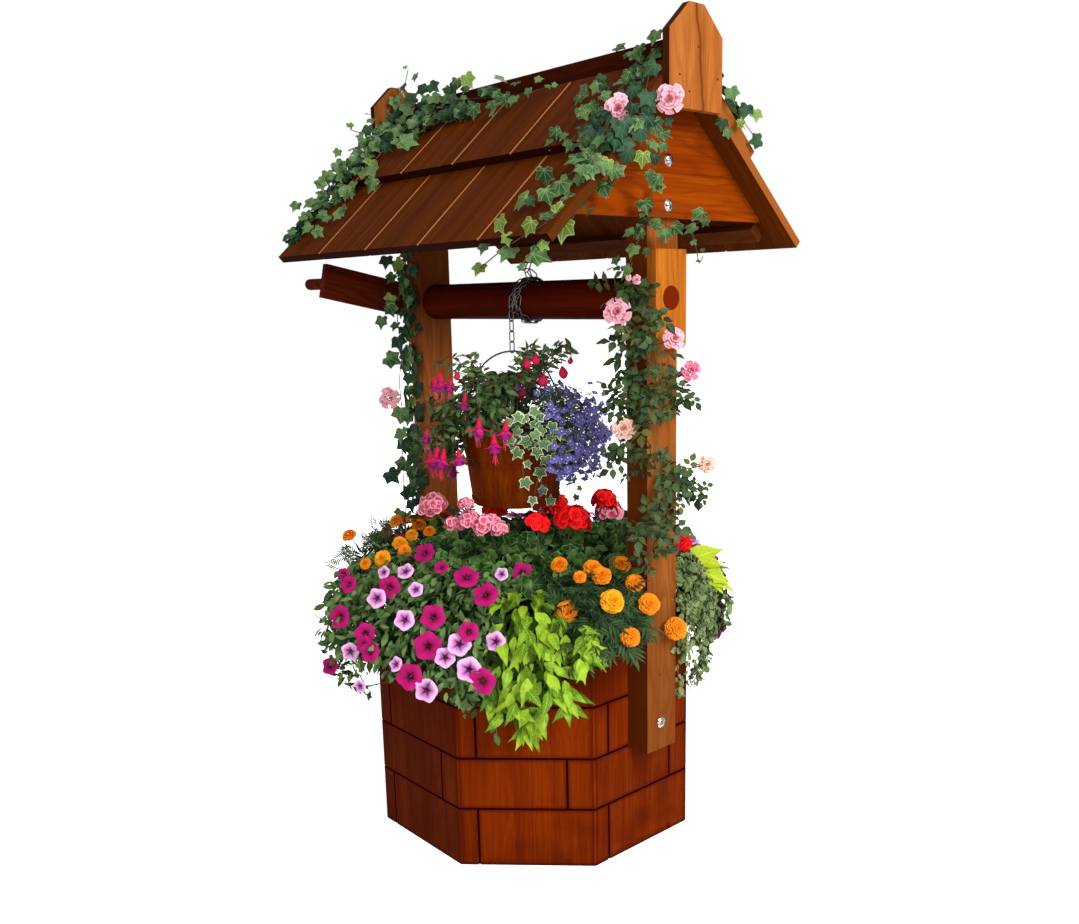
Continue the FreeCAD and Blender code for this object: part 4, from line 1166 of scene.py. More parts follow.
magenta_spots = (
    (427, 556, 31), (391, 587.7, 30), (466, 581, 33), (487.4, 597.9, 33), (521.4, 574.3, 30),
    (344, 617, 32), (434.4, 618, 32), (469, 633, 26), (429.3, 646.6, 36), (373.6, 651.4, 28),
    (334, 666, 26), (411.9, 676.9, 34), (484, 679.6, 34), (367, 633, 28), (352, 586, 24), (442, 571, 20),
    (347, 574, 20), (368, 645, 24),
)
lilac_spots = (
    (407.6, 575, 24), (387, 574, 18), (379.5, 599, 27), (417, 591, 20), (406.6, 620.5, 27),
    (502.7, 576, 18), (458.8, 644.5, 30), (497.5, 641.5, 26), (446, 656.8, 26), (352.7, 649.3, 25),
    (470, 668.3, 32), (428.5, 688.4, 31), (400.4, 665.4, 20), (364, 683.6, 18),
)
bloom_size = 0.82 * mm


def painted_since(bm, before, slot):
    """Gives the faces added since then a material slot."""
    bm.faces.ensure_lookup_table()
    for face in bm.faces[before:]:
        face.material_index = slot


bm = start_piece()
stalks = []
for spots, slot in ((magenta_spots, 0), (lilac_spots, 1)):
    before = len(bm.faces)
    for px, py, radius in spots:
        stalks.append(stalk_to(bloom_by_sight(bm, petunia_bloom, px, py, radius * bloom_size)))
    painted_since(bm, before, slot)
rear_blooms, side_blooms = 62, 8
for k in range(rear_blooms + side_blooms):
    angle = 46 + (k * golden_share % 1) * 124 if k < rear_blooms else -156 + 1.6 * (k - rear_blooms)
    place, normal = on_mound(angle, rng.uniform(0.04, 0.85), 0.004)
    before = len(bm.faces)
    facing = normal + up * 0.2 + shake(0.2)
    join(bm, petunia_bloom, laid(place, facing, shake(1.0), rng.uniform(0.025, 0.032)))
    painted_since(bm, before, 0 if k % 5 < 3 else 1)
    stalks.append(stalk_to(place))
tubes(bm, stalks, stem_sizes["petunia"], 2)
finished(bm, "petunia_blooms", ["magenta petunia", "veined petunia", "green stem"], "planter")


# Lime sweet potato vine, and a golden tuft of it beside the front post
def vine_leaves(bm, shapes, count, angles, shares, sizes, lift):
    """Leaves of the vine, shingled outwards and down from its crown."""
    crown, _ = on_mound(-42, 0.92)
    for _ in range(count):
        angle, share = rng.uniform(*angles), rng.uniform(*shares)
        place, normal = on_mound(angle, share, rng.uniform(*lift))
        pointing = (place - crown).normalized() * 1.2 - up * 0.15 + shake(0.5)
        facing = normal + up * 0.35 + towards_camera(place) * 0.2 + shake(0.42)
        join(bm, rng.choice(shapes), laid(place, facing, pointing, rng.uniform(*sizes)))


bm = start_piece()
# The leaves beneath take the shaded lime green: painted shade under the outer leaves
outer, under = lime_shapes[:1], lime_shapes[1:]
for row in (
    (outer, 112, (-51, -32), (0.27, 0.84), (0.04, 0.062), (-0.02, 0.018)),
    (outer, 32, (-34, -27), (0.25, 0.42), (0.04, 0.056), (-0.014, 0.012)),
    (outer, 14, (-45, -39), (0.17, 0.27), (0.04, 0.054), (-0.02, 0.004)),
    (lime_shapes, 9, (-54, -51), (0.3, 0.4), (0.038, 0.05), (-0.02, 0.006)),
    (under, 120, (-51, -32), (0.25, 0.84), (0.042, 0.062), (-0.055, -0.024)),
    (under, 18, (-33, -28), (0.25, 0.38), (0.04, 0.054), (-0.045, -0.02)),
):
    vine_leaves(bm, *row)
tuft_leaves = (
    ((688, 560), (715, 546)), ((694, 564), (726, 573)), ((692, 568), (728, 583)), ((690, 566), (713, 586)),
    ((694, 560), (674, 554)), ((694, 562), (698, 545)), ((688, 558), (706, 560)), ((686, 562), (700, 578)),
    ((700, 562), (718, 560)), ((702, 568), (716, 590)), ((680, 562), (690, 549)), ((698, 570), (722, 580)),
)
tuft_anchor, _ = on_mound(30, 0.86)
for base_spot, tip_spot in tuft_leaves:
    base_point, tip_point = seen_beside(*base_spot, tuft_anchor), seen_beside(*tip_spot, tuft_anchor)
    facing = towards_camera(base_point) + up * 0.5 + shake(0.15)
    tip_point += radial_way(rng.uniform(-10, 60)) * 0.015
    span = tip_point - base_point
    join(bm, tuft_shape, laid(base_point, facing, span, span.length * 1.04))
lime_tones = ["lime vine green", "shaded lime green", "golden lime leaf"]
finished(bm, "lime_vine", lime_tones, "planter", ["sweet_potato_vine"])

# Marigolds
bm = start_piece()
spread_leaves(bm, feathers, 70, (-34, -28), (0.5, 0.95), (0.046, 0.066), (-0.045, -0.01), 0.3, 0.6)
spread_leaves(bm, feathers, 280, (-28, -14), (0.36, 0.95), (0.048, 0.07), (-0.045, -0.01), 0.3, 0.6)
spread_leaves(bm, feathers, 300, (-188, -158), (0.04, 0.98), (0.056, 0.08), (-0.045, -0.006), 0.35, 0.6)
side_anchor, _ = on_mound(-150, 0.8)
side_low, side_high = (350, 568), (392, 530)
for k in range(34):
    share = rng.random()
    px = side_low[0] + (side_high[0] - side_low[0]) * share + rng.gauss(0, 5)
    py = side_low[1] + (side_high[1] - side_low[1]) * share + rng.gauss(0, 6)
    foot = seen_beside(px, py, side_anchor)
    pointing = Vector((-0.6, -0.2, 0.3)) + shake(0.7)
    facing = towards_camera(foot) + shake(0.5)
    join(bm, feathers[k % 3], laid(foot, facing, pointing, rng.uniform(0.03, 0.042)))
finished(bm, "marigold_foliage", ["marigold green"], "planter", ["marigolds"])

orange_spots = (
    (560.3, 567, 24, 0.9), (592, 571, 27, 0.8), (602, 578, 27, 0.8), (580, 579, 18, 0.6),
    (620.6, 567, 27, 0.9), (634.8, 585, 26, 0.5), (648, 605, 29, 0.4), (630, 636.7, 26, 0.0),
    (567.8, 611.8, 30, 0.0), (397.7, 523, 23, 0.8), (419, 528, 24, 0.6), (430, 533.6, 20, 0.6),
    (350.8, 538, 24, 1.2), (388, 534, 22, 0.6), (367.7, 565, 18, 0.1), (405.7, 552, 21, 0.3),
    (629.4, 561, 17, 0.8),
)
gold_spots = ((611.5, 602.7, 33, 0.1), (400, 545.6, 24, 0.3), (384.3, 560, 26, 0.1), (412.4, 537, 21, 0.5))
bm = start_piece()
stalks = []
for spots, template in ((orange_spots, marigold_blooms[0]), (gold_spots, marigold_blooms[1])):
    for px, py, radius, rising in spots:
        radius *= 0.88 * mm
        stalks.append(stalk_to(bloom_by_sight(bm, template, px, py, radius, 0.6, rising * 0.4, 0.01)))
marigold_by_post = (676.3, 628.7)
by_post = seen_beside(*marigold_by_post, Vector((post_face + 0.045, 0.01, 0.5)))
join(bm, marigold_blooms[0], laid(by_post, towards_camera(by_post) + Vector((0.2, 0.3, 0)), up, 0.028))
stalks.append([on_mound(-9, 0.5, -0.03)[0], Vector((post_face + 0.035, -0.04, by_post.z - 0.03)), by_post])
for k in range(11):
    place, normal = on_mound(-187 + 2.6 * k, rng.uniform(0.12, 0.9), 0.006)
    facing = normal + up * 0.4 + shake(0.2)
    join(bm, marigold_blooms[k % 2], laid(place, facing, shake(1.0), rng.uniform(0.022, 0.028)))
tubes(bm, stalks, stem_sizes["marigold"], 2)
finished(bm, "marigold_blooms", ["orange marigold", "golden marigold", "green stem"], "planter")


# Geraniums: round leaves standing about the middle, heads on stalks
def dome_height(radius):
    """Height of the geranium leaves at a distance from the middle."""
    fall = dome_fall * min(radius / dome_radius, 1.0) ** 2
    return dome_top - 0.01 - fall - dome_slope * max(radius - dome_radius, 0.0)


bm = start_piece()
bucket_reach = 0.175
leaf_count = 760
for k in range(leaf_count):
    radius = 0.31 * math.sqrt((k + 0.5) / leaf_count)
    angle = k * golden_angle
    below = k % 2 == 0
    place = radial_way(angle) * radius + up * (dome_height(radius) - rng.uniform(0.02, 0.05))
    if below or (place - bucket_axis).xy.length < bucket_reach:
        place.z -= 0.024
    facing = up * 0.7 + radial_way(angle) * (0.5 + radius * 2.5) + shake(0.6)
    pointing = radial_way(angle) * 0.6 - up * 0.3 + shake(0.5)
    shape = geranium_under if below else geranium_shapes[k // 2 % 2]
    join(bm, shape, laid(place, facing, pointing, rng.uniform(0.02, 0.032)))
# Leaves by sight, in a bowed band of the picture
band_left, band_right, band_top, band_foot = 436, 646, 524, 572
band_middle, band_bow = 540, 0.00036
for k in range(400):
    px = band_left + (band_right - band_left) * (k * golden_share % 1)
    py = rng.uniform(band_top, band_foot) - band_bow * (px - band_middle) ** 2
    place = seen_in(px, py, in_mound)
    if place is None or math.hypot(place.x, place.y) > 0.4:
        continue
    below = k % 2 == 0
    facing = towards_camera(place) * 0.55 + up * 0.6 + shake(0.55)
    place += towards_camera(place) * (rng.uniform(-0.055, -0.03) if below else rng.uniform(-0.022, 0.018))
    if (place - bucket_axis).xy.length < bucket_reach and place.z > 0.7:
        continue
    shape = geranium_under if below else geranium_shapes[k // 2 % 2]
    join(bm, shape, laid(place, facing, shake(0.8) - up * 0.4, rng.uniform(0.019, 0.03)))
geranium_tones = ["geranium green", "shaded geranium green"]
finished(bm, "geranium_leaves", geranium_tones, "planter", ["geraniums"])

# Heads by sight: place in the picture, radius, shape and height above the ground
front_heads = (
    (573, 520, 0.046, red_head, 0.742), (604, 501, 0.038, red_head, 0.745),
    (538, 523, 0.03, red_head, 0.755), (432.5, 506, 0.04, pink_head, 0.742),
    (487, 526, 0.037, pink_head, 0.74), (470, 520, 0.029, pink_head, 0.75),
    (455, 525, 0.029, pink_head, 0.732), (466, 504, 0.021, pink_head, 0.785),
    (500, 530, 0.025, pink_head, 0.735),
)
rear_heads = (
    ((-0.1, 0.16, 0.702), 0.042, red_head), ((0.02, 0.24, 0.69), 0.044, pink_head),
    ((-0.22, 0.06, 0.694), 0.04, red_head), ((0.12, 0.26, 0.676), 0.038, red_head),
    ((-0.2, 0.22, 0.672), 0.04, pink_head),
)


def head_on_stalk(bm, spot, radius, shape):
    """Adds a geranium head and gives the path of its stalk, from the middle of the planting."""
    join(bm, shape, laid(spot, up + shake(0.15), shake(1.0), radius))
    foot = Vector((spot.x * 0.8, spot.y * 0.8, min(spot.z - 0.06, 0.66)))
    return [foot, foot.lerp(spot, 0.5) + shake(0.004), spot]


bm = start_piece()
stalks = []
for px, py, radius, shape, height in front_heads:
    stalks.append(head_on_stalk(bm, seen_on(px, py, Vector((0, 0, height)), up), radius, shape))
for place, radius, shape in rear_heads:
    stalks.append(head_on_stalk(bm, Vector(place), radius, shape))
red_by_post = (682, 543)
beside_post = seen_beside(*red_by_post, on_mound(22, 0.95)[0])
join(bm, red_head, laid(beside_post, up + towards_camera(beside_post), up, 0.026))
stalks.append([on_mound(22, 0.9, -0.05)[0], beside_post - up * 0.03, beside_post])
tubes(bm, stalks, stem_sizes["geranium"], 0)
finished(bm, "geranium_blooms", ["green stem", "red geranium", "pink geranium"], "planter")

# Small leaved creeper beside the front post
bm = start_piece()
trails = []
for k in range(46):
    angle = rng.uniform(7, 44)
    low = rng.uniform(0.0, 0.14) if k % 4 == 0 else rng.uniform(0.22, 0.55)
    path = []
    for s in range(13):
        sway = 1.4 * math.sin(s * 0.9 + k)
        path.append(on_mound(angle + sway, 0.8 + (low - 0.8) * s / 12, rng.uniform(-0.03, -0.002))[0])
    trails.append(path)
    for a, b in zip(path, path[1:]):
        for side in (-1, 1, -1, 1):
            spot = a.lerp(b, rng.random())
            outwards = Vector((spot.x, spot.y, 0)).normalized()
            pointing = outwards.cross(up) * side * 0.8 - up * 0.4 + outwards * 0.3 + shake(0.4)
            facing = outwards + up * 0.3 + shake(0.5)
            join(bm, small_shape, laid(spot, facing, pointing, rng.uniform(0.013, 0.021)))
tubes(bm, trails, stem_sizes["creeper"], 1)
finished(bm, "creeper", ["creeper green", "green stem"], "planter", ["small_leaf_creeper"])


# Ivy
def ivy_leaf(bm, place, facing, pointing, size=0.024, shade=None):
    """One ivy leaf centred on a place; its shade is picked at random unless given."""
    if shade is None:
        shade = rng.choices((0, 1, 2), (0.62, 0.12, 0.26))[0]
    size *= rng.uniform(0.84, 1.14)
    z = facing.normalized()
    way = (pointing - z * pointing.dot(z)).normalized()
    join(bm, ivy_shapes[shade], laid(place - way * size * 0.6, facing, pointing, size))


left_out = Vector((0, -math.sin(roof_pitch), math.cos(roof_pitch)))
left_down = Vector((0, -math.cos(roof_pitch), -math.sin(roof_pitch)))


def roof_place(x, down, rise, side=-1):
    """Point of a roof slope."""
    y = side * (down * math.cos(roof_pitch) + rise * math.sin(roof_pitch))
    return Vector((x, y, roof_apex - down * math.sin(roof_pitch) + rise * math.cos(roof_pitch)))


ivy_lift = 0.012
gable_foot = 1.435


def roof_seen(px, py):
    """Point seen on the ivy: on either layer of boards, by the ridge, or hanging at the eave or a verge."""
    for rise, last in ((2 * board, lap_reach + 0.006), (board, roof_reach)):
        spot = seen_on(px, py, roof_place(0, 0, rise + ivy_lift), left_out)
        down = (spot - roof_place(0, 0, 0)).dot(left_down)
        if down < last:
            break
    if spot.x > roof_half:
        spot = seen_on(px, py, Vector((roof_half + 0.014, 0, 0)), forward)
        if spot.z < gable_foot:
            spot = seen_on(px, py, Vector((block_face + 0.022, 0, 0)), forward)
    elif down < 0.02:
        spot = seen_on(px, py, Vector((0, -0.024, 0)), leftward)
    elif down > roof_reach:
        spot = seen_on(px, py, roof_place(0, roof_reach + ivy_lift, 0), leftward)
    if spot.x < -roof_half - 0.006:
        spot = seen_on(px, py, Vector((-roof_half - 0.006, 0, 0)), forward)
    return spot


def roof_facing(place):
    """Outward direction of the ivy at a place of the roof."""
    return Vector((1, -0.25, 0.25)).normalized() if place.x > roof_half else left_out


def ivy_by_sight(bm, spots, seen, out, shade=None):
    """Ivy leaves where the photograph shows them, sizes in millimetres, facing out and to the viewer."""
    for px, py, size in spots:
        size *= mm * (1.12 if shade is None or shade == 1 else 0.96)
        place = seen(px, py)
        facing = out(place) * 0.5 + towards_camera(place) * 0.5 + up * 0.1 + shake(0.27)
        pointing = shake(0.6) - up
        tone = rng.choice((shade, shade, shade, shade, 0, 2)) if shade in (0, 1) else shade
        ivy_leaf(bm, place + facing.normalized() * rng.uniform(0, 0.014), facing, pointing, size, tone)


def beside_stems(paths, count, spread, size):
    """Places scattered along stems in the picture, each with a leaf size, none of them over a bolt."""
    spots = []
    while len(spots) < count:
        path = rng.choice(paths)
        k = rng.randrange(len(path) - 1)
        share = rng.random()
        px = path[k][0] + (path[k + 1][0] - path[k][0]) * share + rng.gauss(0, spread)
        py = path[k][1] + (path[k + 1][1] - path[k][1]) * share + rng.gauss(0, spread)
        if min(math.dist((px, py), bolt) for bolt in bolt_spots) > bolt_margin:
            spots.append((px, py, size * rng.uniform(0.8, 1.15)))
    return spots


bolt_spots = ((672, 160), (673, 205))
bolt_margin = 14
bm = start_piece()
# Shaded leaves beneath, along the crank verge and the ridge
for _ in range(150):
    down = rng.uniform(0.03, 0.44)
    width = 0.03 + 0.085 * max(0, 1 - abs(down - 0.11) / 0.2)
    rise = (2 if down < lap_reach else 1) * board + rng.uniform(0.006, 0.024)
    place = roof_place(-roof_half + 0.004 + rng.random() * width, down, rise)
    ivy_leaf(bm, place, left_out + shake(0.35), left_down * 0.6 + shake(0.6), 0.022, rng.choice((0, 2, 2)))
for _ in range(80):
    share = rng.random() ** 1.6
    down = 0.04 + rng.random() * (0.08 - 0.05 * share)
    place = roof_place(-roof_half + 0.09 + 0.3 * share, down, 2 * board + rng.uniform(0.006, 0.026))
    ivy_leaf(bm, place, left_out + shake(0.35), left_down * 0.5 + shake(0.6), 0.022, rng.choice((0, 2)))
far_verge_spots = (
    (403, 87, 16), (417, 79, 18), (422, 92, 24), (434, 88, 24), (446, 96, 24), (454, 88, 24),
    (452, 100, 24), (436, 102, 24), (424, 106, 24), (410, 100, 24), (408, 112, 24), (420, 118, 24),
    (396, 120, 24), (384, 122, 24), (400, 130, 24), (409, 144, 28), (416, 138, 24), (392, 140, 24),
    (380, 136, 24), (368, 132, 24), (361, 137, 18), (366, 146, 24), (378, 148, 24), (370, 156, 24),
    (356, 162, 24), (364, 172, 24), (376, 172, 24), (374, 186, 24), (340, 168, 24), (328, 178, 24),
    (352, 180, 24), (346, 194, 24), (336, 200, 24), (345, 213, 18), (323, 198, 24), (310, 206, 24),
    (306, 220, 24), (308, 231, 24), (301, 229, 16), (395, 105, 24), (430, 110, 24), (444, 108, 24),
    (388, 150, 24), (346, 172, 24), (398, 96, 22),
)
far_light_spots = (
    (470, 82, 26), (474, 112, 21), (488, 96, 26), (406, 70, 10), (350, 129, 12), (370, 166, 22),
    (430, 124, 18),
)
ridge_spots = (
    (500, 83, 24), (516, 86, 21), (514, 103, 22), (529, 93, 18), (540, 83, 18), (548, 92, 12),
    (555, 85, 10), (498, 100, 18), (460, 104, 20),
)
heart_spots = (
    (640, 75, 24), (650, 72, 24), (640, 88, 24), (622, 87, 24), (607, 132, 24), (617, 125, 24),
    (627, 128, 24), (637, 125, 24), (613, 142, 27), (625, 147, 27), (628, 158, 26), (640, 136, 24),
    (648, 112, 24), (643, 102, 24), (657, 122, 22), (583, 127, 22), (590, 132, 24), (598, 118, 24),
    (600, 140, 24), (632, 112, 24), (610, 118, 24), (652, 98, 22), (618, 136, 24), (596, 126, 24),
    (634, 96, 24), (645, 124, 24), (605, 146, 22),
)
pale_spots = (
    (585, 93, 20), (597, 90, 20), (604, 93, 18), (580, 102, 18), (583, 115, 18), (593, 107, 20),
    (655, 57, 22), (638, 59, 15), (628, 60, 12),
)
top_spots = ((621, 50, 25), (657, 41, 26), (656, 54, 22))
lap_spots = (
    (555, 135, 20), (550, 146, 18), (562, 140, 20), (570, 146, 18), (585, 143, 22), (597, 148, 20),
    (575, 165, 25), (590, 175, 20), (583, 161, 18), (605, 192, 26), (580, 208, 26), (583, 183, 22),
    (612, 167, 18),
)
eave_spots = (
    (548, 175, 26), (565, 188, 27), (521.7, 203, 26), (548, 198, 22), (562, 213, 27), (563, 231, 27),
    (503, 226, 26), (530, 228, 25), (508, 240, 18), (508, 258, 27), (540, 258, 27), (545, 246, 15),
    (521, 268, 12), (484, 248, 22), (479, 270, 20), (597, 160, 18), (606, 165, 16),
)
gable_spots = (
    (665, 138, 22), (661, 148, 16), (653, 180, 22), (645, 207, 25), (637, 232, 20), (633, 252, 24),
    (617, 262, 18),
)
gable_light_spots = ((642, 160, 21), (654, 160, 18), (659, 193, 20), (644, 220, 10), (647, 253, 14))
post_top_spots = (
    (665, 235, 27), (678, 230, 20), (698, 219, 24), (705, 223, 14), (691, 231, 22), (627, 271, 18),
    (698, 263, 8), (703, 251, 8), (695, 244, 10),
)
finial_spots = ((732, 96, 24), (722, 124, 24), (728, 134, 18), (755, 141, 25))
finial_light_spots = ((744, 114, 20), (754, 118, 18), (740, 124, 14))
shaded_groups = (
    (far_verge_spots, None), (far_light_spots, 1), (ridge_spots, 0), (heart_spots, 2), (pale_spots, 0),
    (top_spots, 0), (lap_spots, 0), (eave_spots, 1), (gable_spots, 0), (gable_light_spots, 1),
    (post_top_spots, 0), (finial_spots, 0), (finial_light_spots, 1),
)
for spots, shade in shaded_groups:
    ivy_by_sight(bm, spots, roof_seen, roof_facing, shade)
ivy_stems = (
    ((385, 120), (352, 160), (330, 190), (306, 222)),
    ((392, 112), (430, 102), (480, 98), (520, 96), (551, 86)), ((398, 108), (404, 92), (408, 70)),
    ((368, 132), (358, 134), (350, 129)),
    ((658, 44), (640, 68), (626, 92), (606, 128), (598, 150), (588, 180), (566, 205), (545, 225),
     (508, 244), (480, 268)), ((652, 60), (645, 92), (640, 124), (626, 150)),
    ((604, 140), (575, 150), (552, 142)), ((596, 150), (576, 172), (548, 185), (524, 203)),
    ((566, 205), (548, 232), (532, 250), (520, 267)), ((588, 180), (582, 205), (565, 231)),
    ((664, 130), (652, 160), (653, 180), (651, 210), (641, 232), (630, 262)),
    ((651, 212), (664, 218), (678, 206)), ((651, 214), (668, 230), (690, 228), (702, 220)),
    ((692, 232), (697, 250), (699, 268), (703, 256)), ((724, 92), (730, 110), (742, 118), (755, 138)),
)
tubes(bm, [[roof_seen(px, py) for px, py in path] for path in ivy_stems], stem_sizes["roof ivy"], 3)
crown_stems = (((656, 46), (642, 68), (628, 92), (610, 124)), ((600, 96), (590, 116), (598, 140)))
verge_stems = (
    ((604, 140), (590, 170), (566, 205), (548, 228)), ((600, 140), (572, 150), (556, 142)),
    ((604, 168), (592, 188), (580, 208)),
)
gable_stems = (((658, 120), (652, 150), (651, 180), (648, 212), (638, 240)),)
far_stems = (((500, 92), (450, 98), (405, 112), (372, 146), (342, 186), (312, 216)),)
for paths, count, spread, size, shade in (
    (crown_stems, 22, 10, 20, None), (verge_stems, 44, 8, 20, 0), (gable_stems, 16, 5, 19, 0),
    (far_stems, 70, 11, 21, 0),
):
    ivy_by_sight(bm, beside_stems(paths, count, spread, size), roof_seen, roof_facing, shade)
for _ in range(46):
    normal = Vector((0.2, math.sin(roof_pitch), math.cos(roof_pitch)))
    rise = 2 * board + rng.uniform(0.006, 0.03)
    place = roof_place(rng.uniform(0.405, roof_half), rng.uniform(0.06, 0.18), rise, 1)
    ivy_leaf(bm, place, normal + shake(0.3), Vector((0.2, 1, -0.6)) + shake(0.5))
ivy_finishes = ["ivy green", "young ivy", "shaded ivy", "woody stem"]
finished(bm, "roof_ivy_leaves", ivy_finishes, "planter", ["roof_ivy"])

# Ivy on the crank post
post_ivy_spots = (
    (386, 262, 22), (400, 266, 24), (418, 266, 28), (408, 258, 24), (392, 280, 24), (403, 283, 24),
    (414, 300, 30), (390, 300, 24), (392, 311, 26), (384, 324, 24), (396, 328, 22), (410, 320, 24),
    (418, 310, 24), (408, 336, 24), (400, 344, 26), (418, 356, 26), (394, 362, 28), (406, 368, 26),
    (422, 374, 26), (410, 380, 26), (410, 392, 22), (402, 414, 30), (424, 416, 26), (438, 412, 22),
    (402, 436, 26), (414, 432, 22), (404, 446, 26), (414, 452, 26), (402, 466, 28), (394, 478, 30),
    (416, 476, 30), (407, 492, 26), (413, 506, 24), (399, 514, 24), (408, 519, 22), (420, 440, 22),
    (412, 402, 22), (416, 288, 24), (404, 354, 22), (420, 490, 20),
)
post_light_spots = ((424, 346, 26), (422, 390, 22), (390, 300, 20), (424, 404, 18))


def post_seen(px, py):
    """Point seen on the ivy of the crank post."""
    return seen_on(px, py, Vector((-0.4, 0, 0)), forward)


def post_facing(_):
    """Outward direction of the ivy on the crank post."""
    return Vector((0.2, -1, 0.1))


bm = start_piece()
ivy_by_sight(bm, post_ivy_spots, post_seen, post_facing)
ivy_by_sight(bm, post_light_spots, post_seen, post_facing, 1)
for _ in range(90):
    place = Vector((rng.uniform(-0.412, -0.36), rng.uniform(-0.085, -0.052), rng.uniform(0.7, 1.315)))
    facing = Vector((rng.uniform(-0.3, 0.4), -1, 0.2)) + shake(0.3)
    ivy_leaf(bm, place, facing, shake(0.6) - up, 0.023, rng.choice((0, 2, 2)))
post_stems = (
    ((404, 250), (400, 290), (396, 320), (404, 350), (398, 380), (404, 420), (402, 450), (404, 490),
     (406, 520)),
    ((418, 255), (412, 300), (408, 340), (416, 380), (412, 420), (416, 460), (412, 500), (410, 520)),
    ((403, 420), (396, 408), (391, 400)),
)
tubes(bm, [[post_seen(px, py) for px, py in path] for path in post_stems], stem_sizes["post ivy"], 3)
finished(bm, "post_ivy_leaves", ivy_finishes, "planter", ["crank_post_ivy"])

# Climbing rose on the front post, blooms where the photograph shows them
rose_side = Vector((0, -0.072, 0))
rose_front = Vector((block_face + 0.01, 0, 0))


def rose_seen(px, py):
    """Point seen beside the post's left side, or in front of its face."""
    spot = seen_on(px, py, rose_side, leftward)
    return spot if spot.x < block_face else seen_on(px, py, rose_front, forward)


def before_bloom(place, blooms):
    """Whether a leaf there would hide a bloom from the viewer."""
    for bloom, radius in blooms:
        if (place - bloom).cross(towards_camera(bloom)).length < radius * 1.15:
            return True
    return False


def rose_strand(bm, pixels, blooms, spacing=0.0145, size=0.052):
    """Adds compound leaves to both sides of a cane, none of them before a bloom, and gives its path."""
    path = [rose_seen(px, py) for px, py in pixels]
    side = 1
    for a, b in zip(path, path[1:]):
        count = max(1, round((b - a).length / spacing))
        for s in range(count):
            spot = a.lerp(b, (s + rng.random()) / count)
            outwards = Vector((0.2, -1, 0.2)) if spot.x < block_face else Vector((1, -0.3, 0.2))
            across = (b - a).normalized().cross(outwards).normalized() * side
            place = spot + outwards.normalized() * rng.uniform(0.0, 0.02)
            shape = rose_sprays[1] if rng.random() < 0.1 else rose_sprays[0]
            facing = outwards * 0.5 + towards_camera(place) * 0.4 + up * 0.35 + shake(0.45)
            pointing = across - up * 0.3 + outwards * 0.3 + shake(0.4)
            reach = size * rng.uniform(0.7, 1.15)
            if not before_bloom(place + pointing.normalized() * reach * 0.5, blooms):
                join(bm, shape, laid(place, facing, pointing, reach))
            side = -side
    return path


rose_strands = (
    ((632, 262), (626, 290), (640, 310), (650, 330), (645, 360)),
    ((614, 278), (618, 298), (630, 318), (640, 340), (655, 345)),
    ((634, 325), (632, 352), (640, 380), (640, 400), (636, 430), (650, 420)),
    ((652, 340), (658, 370), (652, 395), (656, 420)),
    ((640, 345), (631, 375), (628, 400), (630, 425), (632, 445)), ((632, 388), (622, 394), (614, 400)),
    ((668, 385), (680, 392), (694, 394)), ((652, 400), (664, 404), (674, 410)),
    ((626, 300), (642, 290), (652, 300), (648, 320)), ((630, 445), (640, 456), (646, 450)),
    ((648, 440), (652, 462), (662, 474), (678, 470)), ((678, 470), (702, 494)),
    ((642, 524), (652, 520), (668, 524)), ((665, 476), (670, 492), (680, 502)),
    ((645, 565), (650, 550), (662, 530), (668, 508), (664, 480)),
    ((620, 440), (622, 458), (632, 468), (640, 472)), ((648, 534), (640, 526), (632, 520)),
)
rose_blooms = (
    (619.6, 312.6, 30, 0), (671.5, 339.6, 24, 0), (687.9, 371.5, 22, 1), (626, 429, 26, 2),
    (704.6, 464.5, 21, 2), (639, 281, 10, 0), (631, 279, 7, 2),
)
bm = start_piece()
journal_spot = (671, 297.5)
places = [(rose_seen(*journal_spot), 0.028)]
for px, py, radius, kind in rose_blooms:
    radius *= mm
    place = rose_seen(px, py)
    outwards = Vector((0.2, -1, 0.3)) if place.x < block_face else Vector((1, -0.2, 0.3))
    facing = towards_camera(place) * 0.8 + outwards * 0.3
    place += facing.normalized() * 0.03
    join(bm, roses[kind], laid(place, facing + shake(0.08), shake(1.0), radius))
    places.append((place, radius))
canes = [rose_strand(bm, pixels, places) for pixels in rose_strands]
cane_points = [spot for path in canes for spot in path]
for place, _ in places[1:]:
    joint = min(cane_points, key=lambda spot: (spot - place).length)
    canes.append([joint, joint.lerp(place, 0.5) + shake(0.003), place])
far_rose_spot = (389.5, 398)
far_rose = post_seen(*far_rose_spot)
join(bm, roses[0], laid(far_rose, towards_camera(far_rose) + shake(0.1), up, 0.03))
roof_roses = ((619, 109, 27), (670.5, 99, 29))
verge_column = 650
for px, py, radius in roof_roses:
    place = roof_seen(px, py)
    if px > verge_column:
        place = seen_on(px, py, Vector((roof_half + 0.03, 0, 0)), forward)
    facing = towards_camera(place) + shake(0.06)
    join(bm, roses[0], laid(place + facing.normalized() * 0.016, facing, shake(1.0), radius * mm))
tubes(bm, canes, stem_sizes["rose"], 5)
rose_tones = ["rose green", "young rose green"]
rose_tones += ["pink rose", "deep pink rose", "peach rose", "woody stem"]
finished(bm, "climbing_rose_leaves", rose_tones, "planter", ["climbing_rose"])

